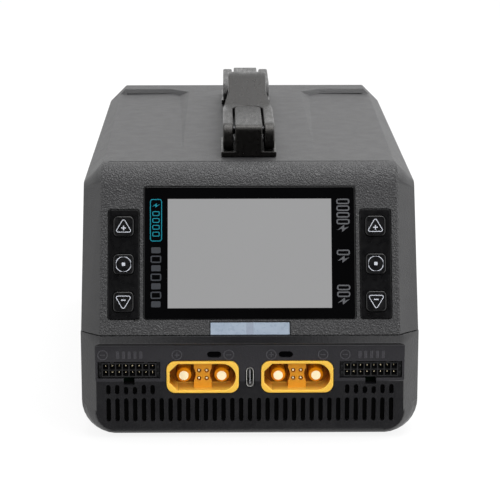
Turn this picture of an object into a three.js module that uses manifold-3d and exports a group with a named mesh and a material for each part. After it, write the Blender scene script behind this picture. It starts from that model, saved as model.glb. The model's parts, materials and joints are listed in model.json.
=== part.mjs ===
// A dual-channel mains balance charger: a two-shell case with a sloped display face, a vertical
// connector panel, two fans behind a rear panel, and an arched carrying handle.
// Millimetres. X runs to the right, Y to the rear, Z up. The origin is on the ground, under the
// middle of the case.
import * as THREE from "three";
import { mergeVertices } from "three/addons/utils/BufferGeometryUtils.js";
import Module from "manifold-3d";

const wasm = await Module();
wasm.setup();

const rad = THREE.MathUtils.degToRad;

// ---------------------------------------------------------------- driving dimensions

const GAP = 0.3; // between neighbouring pieces
const WALL = 2.6; // case wall

const FOOT_HEIGHT = 1.2;
const HALF_WIDTH = 76;
const FRONT_Y = -131; // front edge at the parting line
const REAR_Y = 131;
const PARTING_Z = 48;
const TOP_Z = 120;
const FACE_ANGLE = rad(21); // lean of the display face from the vertical
const TOP_FRONT_RADIUS = 13;
const EDGE_CHAMFER = 9; // along the front corners and the top side edges
const DRAFT = Math.tan(rad(0.9)); // the upper shell narrows upwards
const BOTTOM_RADIUS = 14.8; // along the bottom side edges
const FRONT_CORNER_RADIUS = 7.5; // where that edge starts, at the front face

const PANEL_Y = -128.7; // connector panel
const VENT_Y = -129; // the vent band stands slightly proud of it
const VENT_TOP_Z = 26;
const LEDGE_Z = 44.4; // lower edge of the ledge over the connector panel
const LEDGE_BEVEL = 1.8;
const FRONT_EDGE_RADIUS = 3; // along the bottom of the front

const SLOT_COUNT = 33;
const SLOT_PITCH = 3.97;
const SLOT_WIDTH = 2;
const SLOT_Z = [7.4, 18.5];
const SHORT_SLOT_COUNT = 6; // in each outer group
const SHORT_SLOT_Z = [20.2, 24.7];
const SHORT_SLOT_LOW_TOP = 23.8; // the two slots under each header latch

const WINDOW = { x: 0, t: 37.3, width: 94.4, height: 59.6, depth: 1.4 };
const LCD = { x: 0, t: 37, width: 84, height: 54, depth: 5 };
const KEYPAD = { x: 56.4, t: 32.1, width: 13.6, height: 49.2, depth: 1.4 };
const BUTTON_T = [15.2, 32.1, 49.2];
const BUTTON_NAMES = ["down", "select", "up"];
const BUTTON_SIZE = 9.1;
const BUTTON_PROUD = 0.9;
const BUTTON_TRAVEL = 0.6;
const BUTTON_FLANGE = { wider: 1.6, thickness: 0.9 };
const BUTTON_STEM = { radius: 2, length: 3 };
const BEZEL_GAP = 0.5; // between a button and its hole, both sides together
const KEYPAD_HOLE = { width: 11.6, height: 46.4 };
const SWITCH_BOARD = { width: 11, height: 45, thickness: 1.4, switchSize: 6, switchHeight: 1.6 };
const DISPLAY_BOARD = { wider: 4, lower: 6, gap: 1.4, thickness: 1.6 };
const LIGHT_BAR = { width: 35.2, low: 0.45, high: 5.9, depth: 1.6 };

const OUTPUT = { x: 21.2, z: 28.15, width: 32.4, height: 14.8, proud: 0.6, back: 20 };
const CAVITY = { sideWall: 1.4, topWall: 1.3, chamfer: 3.6, endHalf: 2.6, depth: 4.5 };
const WELL = { depth: 12, radius: 5.3, from: 4, width: 16, height: 20 }; // round each power pin
const SIGNAL_PIN = { column: 1.7, row: 1.8, radius: 0.55, holeRadius: 0.9, tip: 4.9 };
const CARRIER = { thickness: 1.2, width: 5.6, height: 6 }; // holds the pins behind a connector
const POWER_PIN = { spread: 8.5, radius: 3.3, tipRadius: 2.15, tipLength: 1.4, setBack: 3 };
const HEADER = { x: 54.2, z: 31.4, width: 27.4, height: 7.2, columns: 8, rows: 2, pitch: 3 };
const HEADER_CELL = { width: 2.5, height: 2.6, pin: 0.8, pinTip: 2.4 };
const HEADER_BODY = { width: 24.5, height: 6.6, back: 12, flangeDrop: 1.6 };
const LATCH_NOTCH = { below: 5, width: 4.9, height: 3.2 };
const USB = { z: 27.95, width: 3.3, height: 8.94, wall: 0.35, depth: 8 };
const USB_TONGUE = { thickness: 0.8, height: 6.6, setBack: 1.1 };
const PILOT_SLOT = { x: 16, z: 38.6, width: 6.4, height: 2.9 };

const RECESS = { inner: 30.6, start: -70, end: 117, depth: 2.7, cut: 10.4 };

const HANDLE_MID_Y = 7;
const HANDLE_PLATE = { width: 25.3, near: 55, far: 93, thickness: 2.4 }; // near, far: from mid
const FORK = { halfWidth: 11.85, far: 91.5, rise: 14.8, topRadius: 7, lowRadius: 4 };
const TONGUE = { halfWidth: 6.15, near: 37, clearance: 1, topRadius: 3.5 };
const STRAP = { crease: 35.5, crest: 27, thickness: 5.6, waist: 9.3, crestRadius: 24, creaseRadius: 10 };
const HANDLE_PIN = { from: 79, z: TOP_Z + 10.3, radius: 1.8 };
const HANDLE_LIFT = 4;
const LEG_BEND = { y: 4, z: 3.2 }; // the middle of the curve inside a leg
const HANDLE_SPAN = 60; // past the handle, upwards and sideways

const REAR_PANEL = { front: 124.4, thickness: 2.4 }; // set inside the rear rim of the shells
const FAN = { x: 33, z: 80, size: 60, depth: 15, bore: 28, hub: 12, blades: 7, tip: 26.5 };
const FAN_CUP = { depth: 2.2, strutWidth: 3, strutDepth: 2 };
const ROTOR = { setBack: 2.8, depth: 9.6 };
const BLADE = { middle: 5, thickness: 1.3, width: 13, pitch: rad(48) };
const GRILLE = { pitch: 6, slot: 3.8, barsEachSide: 4, longer: 1.5 };
const FAN_FRONT_Y = REAR_PANEL.front - GAP - FAN.depth;
const PANEL_BACK_Y = REAR_PANEL.front + REAR_PANEL.thickness;
const INLET = { x: -30, z: 27, width: 33, height: 24 };
const INLET_FLANGE = { wider: 6, taller: 5 };
const INLET_CAVITY = { narrower: 5, lower: 4, corner: 3, floor: 4 };
const INLET_PIN = { across: 8, raised: 2.5, width: 2, height: 6.5, setBack: 3, clearance: 0.6 };
const SWITCH = { x: 22, z: 27, width: 21.6, height: 28, pivotY: 122.3, tilt: rad(10) };

const SCREW = { x: 57, y: 88, headRadius: 3, headLow: 0.4, headHigh: 2.2, shaftRadius: 1.5, top: 58 };
const SCREW_SOCKET = { radius: 1.4, top: 1.4 };
const BOSS = { radius: 4.6, webHalf: 1.2, wallOverlap: 2, aboveScrew: 8, partingGap: 3 };
const FOOT = { x: 48, y: 108, radius: 6.5, inset: 1.2 };
const LIP = { height: 2.4, thickness: 1.2, rootDepth: 4, frontClear: 22 }; // at the parting line
const STANDOFF = { radius: 3.2, boardRadius: 2, boardX: 39.4, boardTop: 21 };

const BEYOND = 30; // how far a cutting shape runs past a curved face of the case
const THROUGH = 9; // how far a cutting shape runs past a thin piece
const FAR = 300; // past the whole case

// ---------------------------------------------------------------- outlines and solids

// A closed outline through corners [x, y, radius]; a corner with a radius is rounded in `steps`.
function outline(corners, steps = 4) {
  const points = [];
  corners.forEach(([x, y, radius = 0], i) => {
    const corner = new THREE.Vector2(x, y);
    if (radius === 0) {
      points.push(corner);
      return;
    }
    const [px, py] = corners[(i + corners.length - 1) % corners.length];
    const [nx, ny] = corners[(i + 1) % corners.length];
    const back = new THREE.Vector2(px - x, py - y).normalize();
    const ahead = new THREE.Vector2(nx - x, ny - y).normalize();
    const half = Math.acos(back.dot(ahead)) / 2;
    const centre = back.clone().add(ahead).setLength(radius / Math.sin(half)).add(corner);
    const reach = radius / Math.tan(half);
    const from = back.clone().multiplyScalar(reach).add(corner).sub(centre).angle();
    const to = ahead.clone().multiplyScalar(reach).add(corner).sub(centre).angle();
    const turn = Math.atan2(Math.sin(to - from), Math.cos(to - from));
    for (let k = 0; k <= steps; k++) {
      const angle = from + (turn * k) / steps;
      points.push(new THREE.Vector2(Math.cos(angle), Math.sin(angle)).multiplyScalar(radius).add(centre));
    }
  });
  return new THREE.Shape(points);
}

function rectangle(x, y, width, height, radius = 0, steps = 3) {
  const [w, h] = [width / 2, height / 2];
  const corners = [
    [x - w, y - h, radius],
    [x + w, y - h, radius],
    [x + w, y + h, radius],
    [x - w, y + h, radius],
  ];
  return outline(corners, steps);
}

// A regular polygon that stands for a circle.
function disc(x, y, radius, sides = 20) {
  const points = [];
  for (let k = 0; k < sides; k++) {
    const angle = (2 * Math.PI * (k + 0.5)) / sides;
    points.push(new THREE.Vector2(x + radius * Math.cos(angle), y + radius * Math.sin(angle)));
  }
  return new THREE.Shape(points);
}

function solid(geometry) {
  geometry.deleteAttribute("normal");
  geometry.deleteAttribute("uv");
  const merged = mergeVertices(geometry, 1e-4);
  const triVerts = new Uint32Array(merged.index.array);
  const vertProperties = merged.attributes.position.array;
  return new wasm.Manifold(new wasm.Mesh({ numProp: 3, vertProperties, triVerts }));
}

// An outline (x, y) from z0 to z1, then moved by a matrix.
function prism(shape, z0, z1, matrix = null) {
  const geometry = new THREE.ExtrudeGeometry(shape, { depth: z1 - z0, bevelEnabled: false });
  geometry.translate(0, 0, z0);
  if (matrix) geometry.applyMatrix4(matrix);
  return solid(geometry);
}

const AXIS_X = new THREE.Vector3(1, 0, 0);
const AXIS_Y = new THREE.Vector3(0, 1, 0);
const AXIS_Z = new THREE.Vector3(0, 0, 1);
const SIDEWAYS = new THREE.Matrix4().makeBasis(AXIS_Y, AXIS_Z, AXIS_X);
const FORWARD = new THREE.Matrix4().makeBasis(AXIS_X, AXIS_Z, AXIS_Y.clone().negate());

// An outline drawn in (y, z), from x0 to x1.
const prismX = (shape, x0, x1) => prism(shape, x0, x1, SIDEWAYS);
// An outline drawn in (x, z), from y0 to y1.
const prismY = (shape, y0, y1) => prism(shape, -y1, -y0, FORWARD);

function box(x0, x1, y0, y1, z0, z1) {
  const geometry = new THREE.BoxGeometry(x1 - x0, y1 - y0, z1 - z0);
  geometry.translate((x0 + x1) / 2, (y0 + y1) / 2, (z0 + z1) / 2);
  return solid(geometry);
}

const join = (solids) => solids.reduce((all, one) => all.add(one));
const cut = (body, tools) => tools.reduce((left, tool) => left.subtract(tool), body);

// The sloped face's own frame: x across, y up the slope from the parting line, z out of it.
const FACE_TURN = Math.PI / 2 - FACE_ANGLE;
const FACE_FRAME = new THREE.Matrix4()
  .makeTranslation(0, FRONT_Y, PARTING_Z)
  .multiply(new THREE.Matrix4().makeRotationX(FACE_TURN));

// The connector panel's own frame: x across, y up from the ground, z out of it.
const PANEL_FRAME = new THREE.Matrix4()
  .makeTranslation(0, PANEL_Y, 0)
  .multiply(new THREE.Matrix4().makeRotationX(Math.PI / 2));

// ---------------------------------------------------------------- scene graph

const charger = new THREE.Group();
const face = new THREE.Group();
face.applyMatrix4(FACE_FRAME);
const panel = new THREE.Group();
panel.applyMatrix4(PANEL_FRAME);
charger.add(face, panel);

const finish = (color, roughness, metalness = 0) => ({ color, roughness, metalness });
const CASE_TOP = finish(0x66676a, 0.7);
const CASE_BASE = finish(0x3a3a3f, 0.62);
const BLACK = finish(0x121214, 0.5);
const GLOSS = finish(0x08080a, 0.12);
const YELLOW = finish(0xf2a91c, 0.45);
const GOLD = finish(0xe9c97a, 0.25, 1);
const STEEL = finish(0xb9bcc0, 0.3, 1);
const ALUMINIUM = finish(0xa7abb0, 0.4, 1);
const BOARD = finish(0x1d5a3a, 0.5);
const RUBBER = finish(0x1b1b1c, 0.9);
const LIGHT = finish(0xaebfd6, 0.35);
const WINDING = finish(0xb98a2e, 0.6);

function addMesh(name, body, look, parent = charger) {
  const { vertProperties, triVerts } = body.getMesh();
  const geometry = new THREE.BufferGeometry();
  geometry.setAttribute("position", new THREE.BufferAttribute(new Float32Array(vertProperties), 3));
  geometry.setIndex(new THREE.BufferAttribute(new Uint32Array(triVerts), 1));
  geometry.computeVertexNormals();
  const mesh = new THREE.Mesh(geometry, new THREE.MeshStandardMaterial(look));
  mesh.name = name;
  parent.add(mesh);
}

const SIDES = [
  ["left", -1],
  ["right", 1],
];
const CORNERS = [
  ["front_left", -1, -1],
  ["front_right", 1, -1],
  ["rear_left", -1, 1],
  ["rear_right", 1, 1],
];

// ---------------------------------------------------------------- case envelope

// A side profile drawn in (y, z), swept across the case with its ends chamfered.
function chamferedSweep(profile, halfWidth, chamfer) {
  const geometry = new THREE.ExtrudeGeometry(profile, {
    depth: 2 * (halfWidth - chamfer),
    bevelThickness: chamfer,
    bevelSize: chamfer,
    bevelOffset: -chamfer,
    bevelSegments: 1,
  });
  geometry.translate(0, 0, chamfer - halfWidth);
  geometry.applyMatrix4(SIDEWAYS);
  return geometry;
}


// The upper case, drawn in by `inset` from its outer surface.
function upperEnvelope(inset) {
  const low = PARTING_Z - BEYOND;
  const top = TOP_Z - inset;
  const slopeY = (z) => FRONT_Y + inset / Math.cos(FACE_ANGLE) + (z - PARTING_Z) * Math.tan(FACE_ANGLE);
  const profile = outline(
    [
      [slopeY(low), low],
      [slopeY(top), top, TOP_FRONT_RADIUS - inset],
      [REAR_Y + BEYOND, top],
      [REAR_Y + BEYOND, low],
    ],
    6,
  );
  const chamfer = EDGE_CHAMFER - inset * (2 - Math.SQRT2);
  const geometry = chamferedSweep(profile, HALF_WIDTH - inset, chamfer);
  const position = geometry.attributes.position;
  for (let i = 0; i < position.count; i++) {
    const rise = Math.max(0, position.getZ(i) - PARTING_Z);
    position.setX(i, position.getX(i) * (1 - (rise * DRAFT) / HALF_WIDTH));
  }
  return solid(geometry);
}

// Half of the lower case's cross-section in (x, z): down the side, round the edge, to the bottom.
// `share` runs from 0 where the round edge starts to 1 where it ends.
function edgePoints(side, floor, radius, steps) {
  const points = [{ x: side, z: PARTING_Z + BEYOND, share: 0 }];
  for (let i = 0; i <= steps; i++) {
    const angle = (Math.PI / 2) * (i / steps);
    const x = side - radius * (1 - Math.cos(angle));
    const z = floor + radius * (1 - Math.sin(angle));
    points.push({ x, z, share: i / steps });
  }
  return points;
}

const mirrored = (points) => [...points, ...points.toReversed().map((p) => ({ ...p, x: -p.x }))];

// A closed solid through rings of points that all have the same count.
function skin(rings) {
  const count = rings[0].length;
  const index = [];
  for (let r = 0; r + 1 < rings.length; r++) {
    for (let i = 0; i < count; i++) {
      const [a, b] = [r * count + i, r * count + ((i + 1) % count)];
      index.push(a, b, b + count, a, b + count, a + count);
    }
  }
  const flat = rings[0].map((p) => new THREE.Vector2(p.x, p.z));
  const last = (rings.length - 1) * count;
  for (const [a, b, c] of THREE.ShapeUtils.triangulateShape(flat, [])) {
    index.push(a, b, c, last + a, last + c, last + b);
  }
  const places = rings.flat().flatMap(({ x, y, z }) => [x, y, z]);
  const geometry = new THREE.BufferGeometry();
  geometry.setAttribute("position", new THREE.Float32BufferAttribute(places, 3));
  geometry.setIndex(index);
  return solid(geometry);
}

// The outside of the lower case. Its front edge is a flat chamfer along the sides, which narrows
// round the corner into a small rounded edge along the bottom.
function lowerOutside() {
  const arcSteps = 8;
  const depthSteps = 3;
  const floor = FOOT_HEIGHT + FRONT_EDGE_RADIUS;
  const near = mirrored(edgePoints(HALF_WIDTH - EDGE_CHAMFER, floor, FRONT_CORNER_RADIUS, arcSteps));
  const far = mirrored(edgePoints(HALF_WIDTH, FOOT_HEIGHT, BOTTOM_RADIUS, arcSteps));
  const rings = [near.map((p) => ({ ...p, y: FRONT_Y - BEYOND }))];
  for (let k = 0; k <= depthSteps; k++) {
    const angle = (Math.PI / 2) * (k / depthSteps);
    const ring = near.map((p, i) => {
      const flat = k / depthSteps;
      const outwards = THREE.MathUtils.lerp(flat, Math.sin(angle), p.share);
      const backwards = THREE.MathUtils.lerp(flat, 1 - Math.cos(angle), p.share);
      const start = THREE.MathUtils.lerp(FRONT_Y, VENT_Y, p.share);
      const depth = THREE.MathUtils.lerp(EDGE_CHAMFER, FRONT_EDGE_RADIUS, p.share);
      const x = THREE.MathUtils.lerp(p.x, far[i].x, outwards);
      const z = THREE.MathUtils.lerp(p.z, far[i].z, outwards);
      return { x, y: start + depth * backwards, z };
    });
    rings.push(ring);
  }
  rings.push(far.map((p) => ({ ...p, y: REAR_Y + BEYOND })));
  return skin(rings);
}

// The inside of the lower case, drawn in by `inset` from the outside, from `frontY` backwards.
function lowerInside(inset, frontY) {
  const low = FOOT_HEIGHT - BEYOND;
  const above = PARTING_Z + BEYOND;
  const block = outline([
    [frontY, low],
    [frontY, above],
    [REAR_Y + BEYOND, above],
    [REAR_Y + BEYOND, low],
  ]);
  const chamfer = EDGE_CHAMFER - (frontY - FRONT_Y) + inset * (Math.SQRT2 - 1);
  const swept = solid(chamferedSweep(block, HALF_WIDTH - inset, chamfer));
  const edge = mirrored(edgePoints(HALF_WIDTH - inset, FOOT_HEIGHT + inset, BOTTOM_RADIUS - inset, 6));
  const section = new THREE.Shape(edge.map((p) => new THREE.Vector2(p.x, p.z)));
  return swept.intersect(prismY(section, FRONT_Y - BEYOND, REAR_Y + BEYOND));
}

const FRONT_WALL_BACK_Y = PANEL_Y + 2.5;
const above = (z) => box(-FAR, FAR, -FAR, FAR, z, FAR);
const below = (z) => box(-FAR, FAR, -FAR, FAR, -FAR, z);

// The hollow inside the case, drawn in by `clearance` more than the wall.
function hollow(clearance) {
  const upper = upperEnvelope(WALL + clearance).intersect(above(PARTING_Z - GAP));
  const lower = lowerInside(WALL + clearance, FRONT_WALL_BACK_Y + clearance);
  return upper.add(lower.intersect(below(PARTING_Z)));
}

// ---------------------------------------------------------------- upper shell

// The shallow tray in each half of the roof: its floor falls towards the rear.
function roofTray(side, lower) {
  const { inner, start, end, depth, cut: corner } = RECESS;
  const plan = outline([
    [side * inner, start],
    [side * inner, end - corner],
    [side * (inner + corner), end],
    [side * (HALF_WIDTH + BEYOND), end],
    [side * (HALF_WIDTH + BEYOND), start],
  ]);
  const wedge = outline([
    [start, TOP_Z - lower],
    [end, TOP_Z - depth - lower],
    [end, TOP_Z + BEYOND],
    [start, TOP_Z + BEYOND],
  ]);
  return prism(plan, TOP_Z - BEYOND, TOP_Z + BEYOND).intersect(prismX(wedge, -FAR, FAR));
}

// A screw boss with a web that runs out into the side wall of `envelope`.
function boss(sideX, sideY, z0, z1, envelope) {
  const x = sideX * SCREW.x;
  const y = sideY * SCREW.y;
  const wall = sideX * (HALF_WIDTH - BOSS.wallOverlap);
  const [near, far] = [y - BOSS.webHalf, y + BOSS.webHalf];
  const web = box(Math.min(x, wall), Math.max(x, wall), near, far, z0, z1);
  return prism(disc(x, y, BOSS.radius, 12), z0, z1).add(web.intersect(envelope));
}

function onFace(shape, z0, z1) {
  return prism(shape, z0, z1, FACE_FRAME);
}

function faceOpenings() {
  const seat = (w, grow) => rectangle(w.x, w.t, w.width + grow, w.height + grow, 1.2, 2);
  const barMiddle = (LIGHT_BAR.high - BEYOND) / 2;
  const bar = rectangle(0, barMiddle, LIGHT_BAR.width + 2 * GAP, LIGHT_BAR.high + BEYOND + 2 * GAP);
  const openings = [
    onFace(seat(WINDOW, 2 * GAP), -WINDOW.depth, THROUGH),
    onFace(rectangle(LCD.x, LCD.t, LCD.width + 0.8, LCD.height + 0.8), -THROUGH, THROUGH),
    onFace(bar, -LIGHT_BAR.depth - GAP, THROUGH),
  ];
  for (const [, side] of SIDES) {
    const keypad = { ...KEYPAD, x: side * KEYPAD.x };
    const hole = rectangle(keypad.x, KEYPAD.t, KEYPAD_HOLE.width, KEYPAD_HOLE.height);
    openings.push(onFace(seat(keypad, 2 * GAP), -KEYPAD.depth, THROUGH));
    openings.push(onFace(hole, -THROUGH, THROUGH));
  }
  return openings;
}

function upperShell() {
  const outer = upperEnvelope(0).intersect(box(-FAR, FAR, -FAR, REAR_Y, PARTING_Z + GAP / 2, FAR));
  let shell = outer.subtract(upperEnvelope(WALL));
  for (const [, side] of SIDES) {
    const trayFloor = roofTray(side, WALL).intersect(outer);
    shell = shell.add(trayFloor.intersect(above(TOP_Z - 2 * WALL - RECESS.depth)));
  }
  for (const [, sideX, sideY] of CORNERS) {
    shell = shell.add(boss(sideX, sideY, PARTING_Z + BOSS.partingGap, SCREW.top + BOSS.aboveScrew, outer));
  }
  const screwHoles = CORNERS.map(([, sideX, sideY]) =>
    prism(disc(sideX * SCREW.x, sideY * SCREW.y, SCREW.shaftRadius + GAP, 10), 0, SCREW.top + 2),
  );
  const trays = SIDES.map(([, side]) => roofTray(side, 0));
  const bodies = cut(shell, [...trays, ...faceOpenings(), ...screwHoles]).decompose();
  return bodies.sort((a, b) => b.volume() - a.volume())[0];
}

addMesh("upper_shell", upperShell(), CASE_TOP);

// ---------------------------------------------------------------- lower shell

function slot(x, z0, z1) {
  const height = z1 - z0;
  const shape = rectangle(x, (z0 + z1) / 2, SLOT_WIDTH, height, SLOT_WIDTH / 2 - 0.02, 2);
  return prismY(shape, FRONT_Y - 5, FRONT_WALL_BACK_Y + 5);
}

function ventSlots() {
  const slots = [];
  const middle = (SLOT_COUNT - 1) / 2;
  for (let i = 0; i < SLOT_COUNT; i++) {
    const x = (i - middle) * SLOT_PITCH;
    slots.push(slot(x, ...SLOT_Z));
    const fromEnd = Math.min(i, SLOT_COUNT - 1 - i);
    if (fromEnd < SHORT_SLOT_COUNT) {
      const low = fromEnd === 2 || fromEnd === 3;
      slots.push(slot(x, SHORT_SLOT_Z[0], low ? SHORT_SLOT_LOW_TOP : SHORT_SLOT_Z[1]));
    }
  }
  return slots;
}

function panelOpenings() {
  const through = (shape) => prismY(shape, FRONT_Y - 5, FRONT_WALL_BACK_Y + 5);
  const openings = [through(rectangle(0, USB.z, USB.width + 0.8, USB.height + 0.7, 2, 4))];
  for (const [, side] of SIDES) {
    const x = side * OUTPUT.x;
    openings.push(through(rectangle(x, OUTPUT.z, OUTPUT.width + 0.6, OUTPUT.height + 0.6, 4.2, 4)));
    openings.push(through(rectangle(side * HEADER.x, HEADER.z, HEADER.width + 0.6, HEADER.height + 0.6)));
    const notchZ = HEADER.z - LATCH_NOTCH.below;
    openings.push(through(rectangle(side * HEADER.x, notchZ, LATCH_NOTCH.width, LATCH_NOTCH.height)));
    const pilot = rectangle(side * PILOT_SLOT.x, PILOT_SLOT.z, PILOT_SLOT.width, PILOT_SLOT.height, 1.4);
    openings.push(through(pilot));
  }
  return openings;
}

function lowerSideProfile() {
  const corners = [
    [FRONT_Y, PARTING_Z + BEYOND],
    [FRONT_Y, LEDGE_Z],
    [PANEL_Y, LEDGE_Z - LEDGE_BEVEL],
    [PANEL_Y, VENT_TOP_Z + 0.5],
    [VENT_Y, VENT_TOP_Z],
    [VENT_Y, FOOT_HEIGHT - BEYOND],
    [REAR_Y, FOOT_HEIGHT - BEYOND],
    [REAR_Y, PARTING_Z + BEYOND],
  ];
  return outline(corners, 3);
}

// The upstanding lip inside the parting line that locates the upper shell.
function locatingLip() {
  const [front, rear] = [FRONT_Y + LIP.frontClear, REAR_PANEL.front - 2];
  const reach = box(-FAR, FAR, front, rear, PARTING_Z - LIP.rootDepth, PARTING_Z + LIP.height);
  const ring = lowerInside(WALL + GAP, FRONT_WALL_BACK_Y);
  const bore = lowerInside(WALL + GAP + LIP.thickness, FRONT_WALL_BACK_Y);
  const foot = lowerInside(WALL - 0.5, FRONT_WALL_BACK_Y).intersect(below(PARTING_Z - 1));
  return ring.add(foot).subtract(bore).intersect(reach);
}

const STANDOFFS = [-44, 44].flatMap((x) => [-88, 68].map((y) => [x, y]));
const POWER_BOARD_Z = 12;

function lowerShell() {
  const envelope = lowerOutside().intersect(prismX(lowerSideProfile(), -FAR, FAR));
  const outer = envelope.intersect(below(PARTING_Z - GAP / 2));
  const floor = FOOT_HEIGHT + WALL - 0.5;
  let shell = outer.subtract(lowerInside(WALL, FRONT_WALL_BACK_Y)).add(locatingLip());
  for (const [x, y] of STANDOFFS) {
    shell = shell.add(prism(disc(x, y, STANDOFF.radius, 10), floor, POWER_BOARD_Z - GAP));
  }
  for (const [, side] of SIDES) {
    const post = disc(side * STANDOFF.boardX, FRONT_WALL_BACK_Y + 4, STANDOFF.boardRadius, 10);
    shell = shell.add(prism(post, floor, STANDOFF.boardTop));
  }
  for (const [, sideX, sideY] of CORNERS) {
    shell = shell.add(boss(sideX, sideY, floor, PARTING_Z - BOSS.partingGap, outer));
  }
  const tools = [...ventSlots(), ...panelOpenings()];
  for (const [, sideX, sideY] of CORNERS) {
    const [x, y] = [sideX * SCREW.x, sideY * SCREW.y];
    tools.push(prism(disc(x, y, SCREW.shaftRadius + GAP, 10), -THROUGH, PARTING_Z));
    const seat = FOOT_HEIGHT + SCREW.headHigh + 0.4;
    tools.push(prism(disc(x, y, SCREW.headRadius + GAP, 14), -THROUGH, seat));
    const [footX, footY] = [sideX * FOOT.x, sideY * FOOT.y];
    tools.push(prism(disc(footX, footY, FOOT.radius + GAP, 16), -THROUGH, FOOT_HEIGHT + FOOT.inset));
  }
  return cut(shell, tools);
}

addMesh("lower_shell", lowerShell(), CASE_BASE);

for (const [corner, sideX, sideY] of CORNERS) {
  const [x, y] = [sideX * SCREW.x, sideY * SCREW.y];
  const [headLow, headHigh] = [FOOT_HEIGHT + SCREW.headLow, FOOT_HEIGHT + SCREW.headHigh];
  const head = prism(disc(x, y, SCREW.headRadius, 14), headLow, headHigh);
  const socket = prism(disc(x, y, SCREW_SOCKET.radius, 6), 0, FOOT_HEIGHT + SCREW_SOCKET.top);
  const shaft = prism(disc(x, y, SCREW.shaftRadius, 10), headHigh - 0.2, SCREW.top);
  addMesh(`${corner}_case_screw`, head.add(shaft).subtract(socket), STEEL);

  const [footX, footY] = [sideX * FOOT.x, sideY * FOOT.y];
  const foot = prism(disc(footX, footY, FOOT.radius, 16), 0, FOOT_HEIGHT + FOOT.inset - GAP);
  addMesh(`${corner}_foot`, foot, RUBBER);
}

// ---------------------------------------------------------------- display face

const windowPlate = rectangle(WINDOW.x, WINDOW.t, WINDOW.width, WINDOW.height, 1, 2);
addMesh("display_window", prism(windowPlate, GAP - WINDOW.depth, 0), GLOSS, face);

const lcdPlate = rectangle(LCD.x, LCD.t, LCD.width, LCD.height);
const lcdFront = -WINDOW.depth;
addMesh("lcd_module", prism(lcdPlate, lcdFront - LCD.depth, lcdFront), STEEL, face);
const boardFront = lcdFront - LCD.depth - DISPLAY_BOARD.gap;
const boardHeight = LCD.height - DISPLAY_BOARD.lower;
const displayBoard = rectangle(LCD.x, LCD.t, LCD.width + DISPLAY_BOARD.wider, boardHeight);
addMesh("display_board", prism(displayBoard, boardFront - DISPLAY_BOARD.thickness, boardFront), BOARD, face);

const barMiddleT = (LIGHT_BAR.low + LIGHT_BAR.high) / 2;
const barPlate = rectangle(0, barMiddleT, LIGHT_BAR.width, LIGHT_BAR.high - LIGHT_BAR.low);
addMesh("light_bar", prism(barPlate, -LIGHT_BAR.depth, 0), LIGHT, face);

function keypadBezel(x) {
  const plate = prism(rectangle(x, KEYPAD.t, KEYPAD.width, KEYPAD.height, 1, 2), GAP - KEYPAD.depth, 0);
  const hole = BUTTON_SIZE + BEZEL_GAP;
  return cut(plate, BUTTON_T.map((t) => prism(rectangle(x, t, hole, hole, 2.2, 3), -THROUGH, THROUGH)));
}

// A cap with a flange behind the bezel and a stem that meets the switch.
function button(x, t) {
  const flangeTop = -KEYPAD.depth;
  const cap = prism(rectangle(x, t, BUTTON_SIZE, BUTTON_SIZE, 2, 3), flangeTop - 0.5, BUTTON_PROUD);
  const flangeSize = BUTTON_SIZE + BUTTON_FLANGE.wider;
  const flangeBottom = flangeTop - BUTTON_FLANGE.thickness;
  const flange = prism(rectangle(x, t, flangeSize, flangeSize), flangeBottom, flangeTop);
  const stem = prism(disc(x, t, BUTTON_STEM.radius, 10), flangeTop - BUTTON_STEM.length, flangeTop - 0.5);
  return join([cap, flange, stem]);
}

function switchBoard(x) {
  const { width, height, thickness, switchSize, switchHeight } = SWITCH_BOARD;
  const top = -KEYPAD.depth - BUTTON_STEM.length - BUTTON_TRAVEL - GAP;
  const boardTop = top - switchHeight;
  const board = prism(rectangle(x, KEYPAD.t, width, height), boardTop - thickness, boardTop);
  const switchOutline = (t) => rectangle(x, t, switchSize, switchSize);
  return join([board, ...BUTTON_T.map((t) => prism(switchOutline(t), boardTop - 0.2, top))]);
}

for (const [side, sign] of SIDES) {
  const x = sign * KEYPAD.x;
  addMesh(`${side}_keypad_bezel`, keypadBezel(x), BLACK, face);
  addMesh(`${side}_switch_board`, switchBoard(x), BOARD, face);
  BUTTON_T.forEach((t, i) => addMesh(`${side}_${BUTTON_NAMES[i]}_button`, button(x, t), BLACK, face));
}

// ---------------------------------------------------------------- connector panel

// The cavity's outline: chamfered at one end and round at the other.
function outputCavity(x) {
  const [w, h] = [OUTPUT.width / 2 - CAVITY.sideWall, OUTPUT.height / 2 - CAVITY.topWall];
  const corners = [
    [x - w + CAVITY.chamfer, OUTPUT.z - h],
    [x + w, OUTPUT.z - h, h - 0.1],
    [x + w, OUTPUT.z + h, h - 0.1],
    [x - w + CAVITY.chamfer, OUTPUT.z + h],
    [x - w, OUTPUT.z + CAVITY.endHalf],
    [x - w, OUTPUT.z - CAVITY.endHalf],
  ];
  return outline(corners, 4);
}

function outputConnector(x) {
  const { z, width, height, proud, back } = OUTPUT;
  const housing = prism(rectangle(x, z, width, height, 4, 4), -back, proud);
  const shallow = prism(outputCavity(x), -CAVITY.depth, THROUGH);
  const deep = prism(outputCavity(x), -WELL.depth, THROUGH);
  const wells = SIDES.map(([, side]) => {
    const blockX = x + side * (WELL.from + WELL.width / 2);
    const half = prism(rectangle(blockX, z, WELL.width, WELL.height), -WELL.depth, THROUGH);
    const round = prism(disc(x + side * POWER_PIN.spread, z, WELL.radius, 16), -WELL.depth, THROUGH);
    return half.add(round).intersect(deep);
  });
  const pinHoles = SIDES.map(([, side]) =>
    prism(disc(x + side * POWER_PIN.spread, z, POWER_PIN.radius + GAP, 16), -2 * back, 0),
  );
  const signalHole = ([px, pz]) => prism(disc(px, pz, SIGNAL_PIN.holeRadius, 8), -2 * back, 0);
  const signalHoles = signalPinPlaces(x).map(signalHole);
  return cut(housing, [shallow, ...wells, ...pinHoles, ...signalHoles]);
}

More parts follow.
